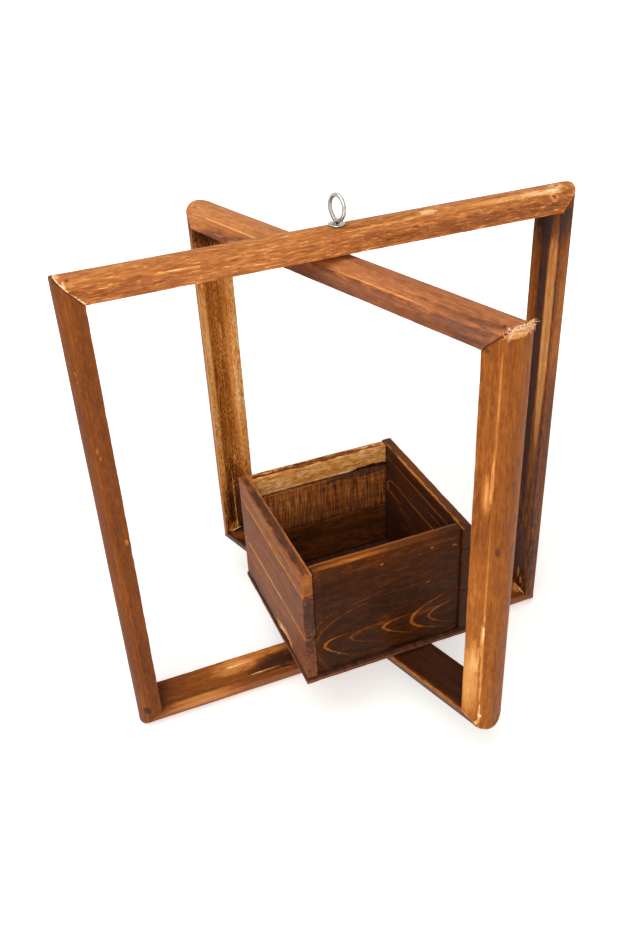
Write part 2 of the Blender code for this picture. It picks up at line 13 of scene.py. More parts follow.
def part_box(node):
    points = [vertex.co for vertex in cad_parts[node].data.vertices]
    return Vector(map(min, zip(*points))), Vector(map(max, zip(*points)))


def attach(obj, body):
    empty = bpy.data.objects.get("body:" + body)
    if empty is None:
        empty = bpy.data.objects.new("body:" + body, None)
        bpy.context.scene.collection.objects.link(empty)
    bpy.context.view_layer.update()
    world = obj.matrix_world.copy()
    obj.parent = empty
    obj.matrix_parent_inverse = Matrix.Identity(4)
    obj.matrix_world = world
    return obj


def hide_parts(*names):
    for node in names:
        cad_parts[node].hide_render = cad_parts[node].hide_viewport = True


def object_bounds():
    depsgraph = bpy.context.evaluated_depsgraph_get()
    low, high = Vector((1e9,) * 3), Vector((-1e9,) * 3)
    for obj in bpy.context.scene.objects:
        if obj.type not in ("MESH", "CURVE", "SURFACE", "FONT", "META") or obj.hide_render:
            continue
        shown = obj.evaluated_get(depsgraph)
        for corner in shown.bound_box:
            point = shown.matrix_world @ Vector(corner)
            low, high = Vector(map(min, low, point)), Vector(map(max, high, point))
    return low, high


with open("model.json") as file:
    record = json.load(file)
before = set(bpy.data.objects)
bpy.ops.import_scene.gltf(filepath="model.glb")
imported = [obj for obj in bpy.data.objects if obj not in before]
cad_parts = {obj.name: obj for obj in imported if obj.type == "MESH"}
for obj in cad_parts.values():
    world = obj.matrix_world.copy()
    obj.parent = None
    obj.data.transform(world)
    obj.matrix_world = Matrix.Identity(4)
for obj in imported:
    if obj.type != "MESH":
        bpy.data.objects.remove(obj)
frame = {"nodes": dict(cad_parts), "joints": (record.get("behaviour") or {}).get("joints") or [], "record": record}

bl_info = {
    "name": "Hanging wooden planter",
    "version": (1, 0, 0),
    "blender": (4, 5, 0),
    "location": "3D View > Sidebar > Planter",
    "description": "Dresses the hanging planter: two mitred frames, the box, the fastenings and the stage",
    "category": "Object",
}

CAD_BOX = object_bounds()
MM = 0.001
SKIN = 0.00004  # every worn surface stays this far inside its node
OVERSHOOT = 0.003  # how far a drill passes the faces of what it drills
HEAD_ROOM = 0.012  # how far a brad's drill starts over the brad's head
SCREW_SHANK = 0.0042
WORN = "worn"  # attribute that tells how far an edge is rubbed
# Degrees: edges below these are shaded smoothly, and a turned piece's rims are sharper than the last
WOOD_FACETS, SCREW_FACETS, TURNED_FACETS, WIRE_FACETS, RIM_ANGLE = 32.0, 35.0, 40.0, 50.0, 60.0

# At the swivel's upper limit the two frames lie flat in each other, so the inner one stands that far back
FRAME_ANGLE = -math.radians(frame["joints"][0]["range_deg"][1])
OUTER_BODY = "outer_frame_and_box"
INNER_BODY = "inner_frame"


def srgb(red, green, blue):
    """A colour given as it looks on screen, 0 to 255, as the linear values that a material takes."""
    linear = []
    for channel in (red, green, blue):
        share = channel / 255.0
        linear.append(share / 12.92 if share <= 0.04045 else ((share + 0.055) / 1.055) ** 2.4)
    return tuple(linear)


# What a user would change

def amount(name, description, default, low=0.0, **more):
    return FloatProperty(name=name, description=description, default=default, min=low, **more)


def length(name, description, default, low=0.0):
    return amount(name, description, default, low, unit="LENGTH", subtype="DISTANCE", precision=5)


def colour(name, description, default):
    return FloatVectorProperty(
        name=name, description=description, default=default, size=3, min=0.0, max=1.0, subtype="COLOR"
    )


class PlanterMouldingSizes(PropertyGroup):
    """Section and surface of the frames' moulding."""

    width: length("Width", "Size of the moulding along the frame's normal", 0.038)
    depth: length("Depth", "From the inner face to the crown", 0.019)
    planed_depth: length("Planed side depth", "How far out the planed side reaches", 0.013)
    planed_lean: length("Planed side lean", "How far the planed side leans in over its depth", 0.005)
    round_depth: length("Round side depth", "Where the crown meets the round side", 0.011)
    round_lean: length("Round side lean", "How far the round side leans in", 0.0015)
    round_softening: length("Round side softening", "Length by which that meeting is rounded", 0.004)
    land: length("Land", "Flat strip along each edge of the inner face", 0.007)
    hollow: length("Hollow", "Relief between the two lands", 0.0025)
    arris: length("Arris", "Worn width of the sharp edges", 0.0005)
    mitre_arris: length("Mitre arris", "Worn width of the edges at the mitres", 0.0003)
    crown_steps: IntProperty(
        name="Crown steps",
        description="Facets from the crown's middle to a side",
        default=10,
        min=3,
        subtype="UNSIGNED",
    )
    ring_step: length("Ring step", "Mesh rings along a member", 0.0026, 0.001)
    wave: length("Wave", "Depth of the slow waves left by planing", 0.00022)
    ridge_wear: length("Ridge wear", "Depth of the dents along the edges", 0.0008)
    mitre_gap: length("Mitre gap", "Half of the hairline between two members", 0.00015)
    top_depth: length("Top depth", "Depth of the top rails and the legs' tips, planed once joined", 0.0165)
    top_planed_depth: length("Top planed depth", "How far out the planed side still reaches there", 0.0112)
    top_round_depth: length("Top round depth", "Where the top's crown meets the round side", 0.0085)


class PlanterBoardSizes(PropertyGroup):
    """Surface of the box's boards."""

    ease: length("Eased edge", "Width of a board's eased edges", 0.0008)
    grid: length("Grid", "Mesh step over a board", 0.0024, 0.001)
    wave: length("Wave", "Depth of the slow waves of the sawn faces", 0.00025)
    edge_wear: length("Edge wear", "Depth of the dents along the edges", 0.0009)


class PlanterHardwareSizes(PropertyGroup):
    """Screw eye, washer, splinters, glue and the holes over the brads."""

    wire: length("Eye wire", "Thickness of the screw eye's wire", 0.00316)
    ring_half_width: length("Ring half width", "Of the oval ring, to the middle of the wire", 0.0072)
    ring_half_height: length("Ring half height", "Of the oval ring, to the middle of the wire", 0.0094)
    ring_shift: length("Ring shift", "How far the ring stands off the shank", 0.0015)
    neck_reach: amount(
        "Neck reach", "Share of the neck over which the wire bends", 0.4, 0.1, max=0.9, subtype="FACTOR"
    )
    eye_turn: amount(
        "Eye turn", "Turn of the ring about the shank", math.radians(-63.0), -math.pi, unit="ROTATION", subtype="ANGLE"
    )
    washer_hole: length("Washer hole", "Width of the washer's hole", 0.005)
    splinter: length("Splinter", "Thickness of the torn splinters at their roots", 0.00095)
    bead: length("Glue bead", "Thickness of the dried glue beads", 0.0024)
    brad_hole: length("Brad hole", "Width of the hole that a set brad leaves", 0.0028)
    clearance: length("Clearance", "Round a shank or past a brad's point", 0.0003)


class PlanterWoodColours(PropertyGroup):
    """The scorched wood from charred to bare, each as it looks in plain light, and the pinkish colour of a painted
    sheen.
    """

    char: colour("Char", "Deepest scorch", srgb(24, 9, 2))
    umber: colour("Umber", "Dark scorched wood", srgb(70, 31, 6))
    brown: colour("Brown", "Middle of the stained wood", srgb(130, 66, 13))
    russet: colour("Russet", "Lighter stained wood", srgb(173, 97, 30))
    tan: colour("Tan", "Lightly scorched wood", srgb(220, 141, 66))
    straw: colour("Straw", "Bare wood", srgb(250, 184, 108))
    cream: colour("Cream", "Torn fibres", srgb(255, 230, 190))
    # painted sheen: this pinkish colour stands in for the soft light's reflection on the oiled wood
    painted_sheen_colour: colour("Haze", "Pinkish film of the old oil", srgb(226, 160, 136))


class PlanterMetalColours(PropertyGroup):
    """Bright zinc, dark brad steel and dried glue."""

    zinc: colour("Zinc", "Screw eye, washer and base screw", srgb(214, 210, 204))
    steel: colour("Brad steel", "Brads, seen down their holes", srgb(58, 52, 48))
    glue: colour("Glue", "Dried glue beads", srgb(240, 204, 128))


class PlanterStageSettings(PropertyGroup):
    """Floor, lamps and camera."""

    floor: colour("Floor", "Colour of the paper floor", srgb(250, 246, 240))
    key_power: amount("Key power", "Power of the large lamp above", 13.5, subtype="POWER")
    fill_power: amount("Fill power", "Power of the lamp at the front", 18.0, subtype="POWER")
    sky: amount("Sky", "Strength of the plain surroundings", 0.26, subtype="FACTOR")
    lens: amount("Lens", "Focal length in millimetres on a 36 mm long side", 37.14, 10.0, unit="CAMERA")


GROUPS = {
    "planter_moulding": PlanterMouldingSizes,
    "planter_boards": PlanterBoardSizes,
    "planter_hardware": PlanterHardwareSizes,
    "planter_wood": PlanterWoodColours,
    "planter_metal": PlanterMetalColours,
    "planter_stage": PlanterStageSettings,
}


# Modelling helpers

def deselect():
    if bpy.context.object and bpy.context.object.mode != "OBJECT":
        bpy.ops.object.mode_set(mode="OBJECT")
    bpy.ops.object.select_all(action="DESELECT")


def take(piece):
    """Make a piece the only one selected."""
    deselect()
    piece.select_set(True)
    bpy.context.view_layer.objects.active = piece


def drop(piece):
    take(piece)
    bpy.ops.object.delete()


def named(name):
    """The object that an operator just added, under its own name."""
    piece = bpy.context.object
    piece.name = name
    piece.data.name = name
    return piece


def settle():
    """Leave the active object at the origin, unturned and unscaled, with its mesh where it was."""
    bpy.ops.object.transform_apply(location=True, rotation=True, scale=True)


def put(piece, place):
    """Move a finished mesh to its place."""
    take(piece)
    piece.matrix_world = place
    settle()


def open_mesh(piece):
    take(piece)
    bpy.ops.object.mode_set(mode="EDIT")
    bpy.ops.mesh.select_all(action="DESELECT")


def close_mesh():
    bpy.ops.object.mode_set(mode="OBJECT")


def smooth(piece, degrees):
    take(piece)
    bpy.ops.object.shade_smooth_by_angle(angle=math.radians(degrees))


def pick(piece, kind, wanted):
    """In edit mode, select only the faces or edges that pass a test."""
    bpy.ops.mesh.select_mode(type=kind)
    bpy.ops.mesh.select_all(action="DESELECT")
    shape = bmesh.from_edit_mesh(piece.data)
    shape.normal_update()
    for part in shape.faces if kind == "FACE" else shape.edges:
        part.select_set(bool(wanted(part)))
    bmesh.update_edit_mesh(piece.data)


def ease(piece, width, segments, wanted):
    """In edit mode, bevel the edges that pass a test."""
    pick(piece, "EDGE", wanted)
    bpy.ops.mesh.bevel(offset=width, segments=segments, affect="EDGES")


def split(piece, cuts, wanted):
    """In edit mode, divide the edges that pass a test."""
    pick(piece, "EDGE", wanted)
    if cuts > 1:
        bpy.ops.mesh.subdivide(number_cuts=cuts)


def plane_off(point, normal):
    """In edit mode, cut the whole mesh by a plane and drop what lies outside it."""
    bpy.ops.mesh.select_all(action="SELECT")
    bpy.ops.mesh.bisect(
        plane_co=point, plane_no=Vector(normal).normalized(), use_fill=True, clear_outer=True, threshold=1e-7
    )


def face_outwards():
    """In edit mode, turn all faces outwards."""
    bpy.ops.mesh.select_all(action="SELECT")
    bpy.ops.mesh.normals_make_consistent(inside=False)


def runs_along(edge, axis, slack=0.2):
    """Whether an edge lies along one of its piece's own axes."""
    way = edge.verts[1].co - edge.verts[0].co
    return abs(way[axis]) > way.length * (1.0 - slack)


def is_sharp(edge, degrees):
    """Whether two faces meet at an outward edge of more than that angle."""
    return len(edge.link_faces) == 2 and edge.calc_face_angle_signed() > math.radians(degrees)


def is_rim(edge):
    return is_sharp(edge, RIM_ANGLE)


def box_of(node):
    """A node's lowest and highest corners as vectors."""
    low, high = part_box(node)
    return Vector(low), Vector(high)


def block(name, size, middle=(0.0, 0.0, 0.0)):
    deselect()
    bpy.ops.mesh.primitive_cube_add(size=1.0, location=middle, scale=size)
    piece = named(name)
    settle()
    return piece


def disc(name, node, height, sides):
    """An upright cylinder as wide as a node and level with its top, opened for editing."""
    low, high = box_of(node)
    middle = (low + high) / 2.0
    middle.z = high.z - height / 2.0
    deselect()
    bpy.ops.mesh.primitive_cylinder_add(
        vertices=sides, radius=(high.x - low.x) / 2.0, depth=height, location=middle
    )
    piece = named(name)
    settle()
    open_mesh(piece)
    return piece


def cut_away(piece, cutter):
    """Take the space of a cutter out of a piece and drop the cutter."""
    cut = piece.modifiers.new("cut", "BOOLEAN")
    cut.operation, cut.solver, cut.object = "DIFFERENCE", "EXACT", cutter
    take(piece)
    bpy.ops.object.modifier_apply(modifier=cut.name)
    drop(cutter)


def bore(piece, holes):
    """Drill holes, given as (start, end, width), with one cutter of joined cylinders."""
    if not holes:
        return
    cutters = []
    for start, end, width in holes:
        along = end - start
        deselect()
        bpy.ops.mesh.primitive_cylinder_add(
            vertices=20,
            radius=width / 2.0,
            depth=along.length,
            location=(start + end) / 2.0,
            rotation=along.to_track_quat("Z", "Y").to_euler(),
        )
        cutters.append(bpy.context.object)
    deselect()
    for cutter in cutters:
        cutter.select_set(True)
    bpy.context.view_layer.objects.active = cutters[0]
    if len(cutters) > 1:
        bpy.ops.object.join()
    cut_away(piece, bpy.context.object)


def upright_hole(node, width, spot=(0.0, 0.0), point=-math.inf):
    """A hole down through a node's box, or down to a point in it."""
    low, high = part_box(node)
    return Vector((*spot, high[2] + OVERSHOOT)), Vector((*spot, max(low[2] - OVERSHOOT, point))), width


def screw_hole(node):
    """The base screw's clearance hole through a node."""
    return upright_hole(node, SCREW_SHANK + 2.0 * bpy.context.scene.planter_hardware.clearance)


def brad_holes(node, brads):
    """Holes for the brads whose boxes reach into a node's box, each from over its head to past its point."""
    hardware = bpy.context.scene.planter_hardware
    low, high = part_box(node)
    holes = []
    for brad in brads:
        brad_low, brad_high = box_of(brad)
        if any(brad_high[i] < low[i] or brad_low[i] > high[i] for i in range(3)):
            continue
        middle, spans = (brad_low + brad_high) / 2.0, list(brad_high - brad_low)
        axis = spans.index(max(spans))
        across = (axis + 1) % 3
        widest = max(frame["nodes"][brad].data.vertices, key=lambda vertex: abs(vertex.co[across] - middle[across]))
        outward = Vector((0.0, 0.0, 0.0))
        outward[axis] = 1.0 if widest.co[axis] > middle[axis] else -1.0
        reach = spans[axis] / 2.0
        start = middle + outward * (reach + HEAD_ROOM)
        holes.append((start, middle - outward * (reach + hardware.clearance), hardware.brad_hole))
    return holes


def grained(place, stretch, seed):
    """Noise from 0 to 1 at a place, drawn out along the first axis."""
    spot = Vector((place.x * stretch[0] + seed, place.y * stretch[1] + seed * 1.7, place.z * stretch[2] - seed))
    return 0.5 + 0.5 * noise.noise(spot)


def smooth_share(value):
    value = max(0.0, min(1.0, value))
    return value * value * (3.0 - 2.0 * value)


# Noise of the wear: change per millimetre along the grain and across it
WAVE_NOISE = (0.022, 0.16, 0.16)
CHIP_NOISE = (0.11, 0.05, 0.05)
FINE_CHIP_NOISE = (0.37, 0.1, 0.1)
DENT_RIM_NOISE = (0.22, 0.7, 0.7)
DENT_FLOOR_NOISE = (0.35, 0.9, 0.9)
BLUNT_ANGLE, SHARP_RANGE = 0.22, 0.5  # edges wear from this angle on, fully after this much more
LEAST_WEAR, LEAST_RUB = 0.12, 0.15  # shares of an edge's wear and of its lighter finish between the chips


def weather(piece, item, wave, wear, hold):
    """Wear a mesh inwards: slow waves, chips along the sharp edges and the dents of its table.

    hold(place) is 0 where the surface must stay put, such as at a joint, and 1 elsewhere.
    It runs in the piece's own space, before the piece is put in place. What the wear took off
    the edges is kept with the mesh as an attribute, so that the finish can be lighter there.
    """
    seed = item.wood.seed
    dents = [Dent(row[:3], row[3:6], row[6]) for row in DENTS.get(item.node, ())]
    shape = bmesh.new()
    shape.from_mesh(piece.data)
    shape.normal_update()
    worn = shape.verts.layers.float.new(WORN)
    moves = []
    for vertex in shape.verts:
        angles = [edge.calc_face_angle_signed() for edge in vertex.link_edges if len(edge.link_faces) == 2]
        place = vertex.co / MM
        depth = SKIN + wave * smooth_share(grained(place, WAVE_NOISE, seed))
        edge_share = smooth_share((max(angles, default=0.0) - BLUNT_ANGLE) / SHARP_RANGE)
        if edge_share > 0.0:
            chips = 0.6 * grained(place, CHIP_NOISE, seed + 9.0) + 0.4 * grained(place, FINE_CHIP_NOISE, seed)
            chips = smooth_share((chips - 0.5) * 4.0)
            depth += wear * edge_share * (LEAST_WEAR + (1.0 - LEAST_WEAR) * chips)
            vertex[worn] = edge_share * (LEAST_RUB + (1.0 - LEAST_RUB) * chips)
        for dent in dents:
            reach = Vector([(place[i] - dent.middle[i]) / dent.reach[i] for i in range(3)]).length
            reach += 0.5 * (grained(place, DENT_RIM_NOISE, seed + 5.0) - 0.5)
            if reach < 1.0:
                rough = 0.45 + 1.1 * grained(place, DENT_FLOOR_NOISE, seed + 3.0)
                depth += dent.depth * MM * smooth_share((1.0 - reach) * 2.2) * rough
        moves.append(-vertex.normal * depth * hold(vertex.co))
    for vertex, move in zip(shape.verts, moves):
        vertex.co += move
    shape.to_mesh(piece.data)
    shape.free()


# The wood, piece by piece

Wood = namedtuple(
    "Wood",
    "seed tone bloom fibres streaks scorch grain cloud dashes worn rings ring_gap ring_edge pith tilt mitre saw",
    defaults=(0.5, 0.05, 0.09, 0.05, 0.07, 4.0, 0.07, 0.08, 0.16, 0.0, 4.0, 2.5, (-26.0, 9.0), 0.0, (0.0, 0.0), 0.0),
)
Member = namedtuple("Member", "node quarter wood")
Board = namedtuple("Board", "node slot along wood")
Mark = namedtuple("Mark", "middle reach tone edge rag", defaults=(0.12, 1.0))
Dent = namedtuple("Dent", "middle reach depth")
Arc = namedtuple("Arc", "tip_along tip_up rise lean length width tone")
TOP, RIGHT, BOTTOM, LEFT = range(4)

OUTER_MEMBERS = (
    Member("outer_top_rail", TOP, Wood(
        3.1, tone=0.565, bloom=0.09, fibres=0.15, scorch=0.07, dashes=0.24, mitre=(0.4, 0.14),
    )),
    Member("outer_right_leg", RIGHT, Wood(7.7, tone=0.41, bloom=0.03, streaks=0.12, dashes=0.06, mitre=(0.25, 0.1))),
    Member("outer_bottom_rail", BOTTOM, Wood(12.9, tone=0.43, grain=7.0, streaks=0.08, bloom=0.04)),
    Member("outer_left_leg", LEFT, Wood(
        18.3, tone=0.345, bloom=0.03, fibres=0.07, streaks=0.05, scorch=0.06, dashes=0.03, grain=3.2, worn=0.06,
        mitre=(0.06, -0.12),
    )),
)

INNER_MEMBERS = (
    Member("inner_top_rail", TOP, Wood(
        24.1, tone=0.52, bloom=0.16, fibres=0.09, streaks=0.09, scorch=0.09, dashes=0.05, worn=0.2,
        mitre=(0.05, -0.12),
    )),
    Member("inner_front_leg", RIGHT, Wood(
        29.6, tone=0.49, bloom=0.03, fibres=0.09, streaks=0.05, scorch=0.07, grain=3.4, dashes=0.05, worn=0.12,
        mitre=(-0.2, 0.2),
    )),
    # its low tone is partly painted shade: the rail's own dark stain, darkened further for the shade under the box
    Member("inner_bottom_rail", BOTTOM, Wood(
        33.4, tone=0.11, fibres=0.04, streaks=0.04, scorch=0.04, dashes=0.02, bloom=0.02,
    )),
    Member("inner_back_leg", LEFT, Wood(
        38.8, tone=0.61, bloom=0.0, fibres=0.12, streaks=0.1, scorch=0.2, grain=1.5, cloud=0.14, dashes=0.08,
    )),
)

BOARDS = (
    Board("left_wall_board_1", "side_wall_wood", "Y", Wood(
        41.0, tone=0.385, bloom=0.08, scorch=0.09, grain=5.0, rings=0.04,
    )),
    Board("left_wall_board_2", "side_wall_wood", "Y", Wood(
        44.5, tone=0.36, bloom=0.08, scorch=0.09, grain=5.0, rings=0.04, worn=0.3,
    )),
    Board("left_wall_board_3", "side_wall_wood", "Y", Wood(
        47.2, tone=0.44, bloom=0.07, scorch=0.09, grain=5.0, worn=0.35,
    )),
    Board("right_wall_board_1", "side_wall_wood", "Y", Wood(
        51.3, tone=0.12, bloom=0.02, fibres=0.05, scorch=0.05, dashes=0.03,
    )),
    Board("right_wall_board_2", "side_wall_wood", "Y", Wood(
        54.8, tone=0.12, bloom=0.03, fibres=0.05, scorch=0.05, dashes=0.03, rings=-0.14, ring_gap=5.0,
        ring_edge=7.0, pith=(20.0, -34.0), tilt=0.3,
    )),
    Board("right_wall_board_3", "side_wall_wood", "Y", Wood(
        57.1, tone=0.15, bloom=0.03, fibres=0.05, scorch=0.06, dashes=0.03, worn=0.3,
    )),
    Board("back_wall_board_1", "back_wall_wood", "X", Wood(
        61.6, tone=0.24, bloom=0.02, fibres=0.09, scorch=0.08, dashes=0.08,
    )),
    Board("back_wall_board_2", "back_wall_wood", "X", Wood(64.2, tone=0.29, fibres=0.12, scorch=0.08, saw=0.26)),
    # its high tone is partly painted light: bare wood, lightened further for the light that falls into the box onto it
    Board("back_wall_board_3", "back_wall_wood", "X", Wood(
        67.9, tone=0.84, bloom=0.0, fibres=0.12, streaks=0.1, scorch=0.14, grain=3.0, dashes=-0.16,
    )),
    Board("front_wall_board", "front_wall_wood", "X", Wood(
        71.4, tone=0.118, bloom=0.0, fibres=0.07, streaks=0.06, scorch=0.1, cloud=0.08, dashes=0.04, rings=-0.05,
        ring_gap=7.4, ring_edge=7.0, pith=(20.2, -37.0), tilt=0.25, worn=0.3,
    )),
    Board("base_board", "base_board_wood", "Y", Wood(75.5, tone=0.22, scorch=0.08)),
)
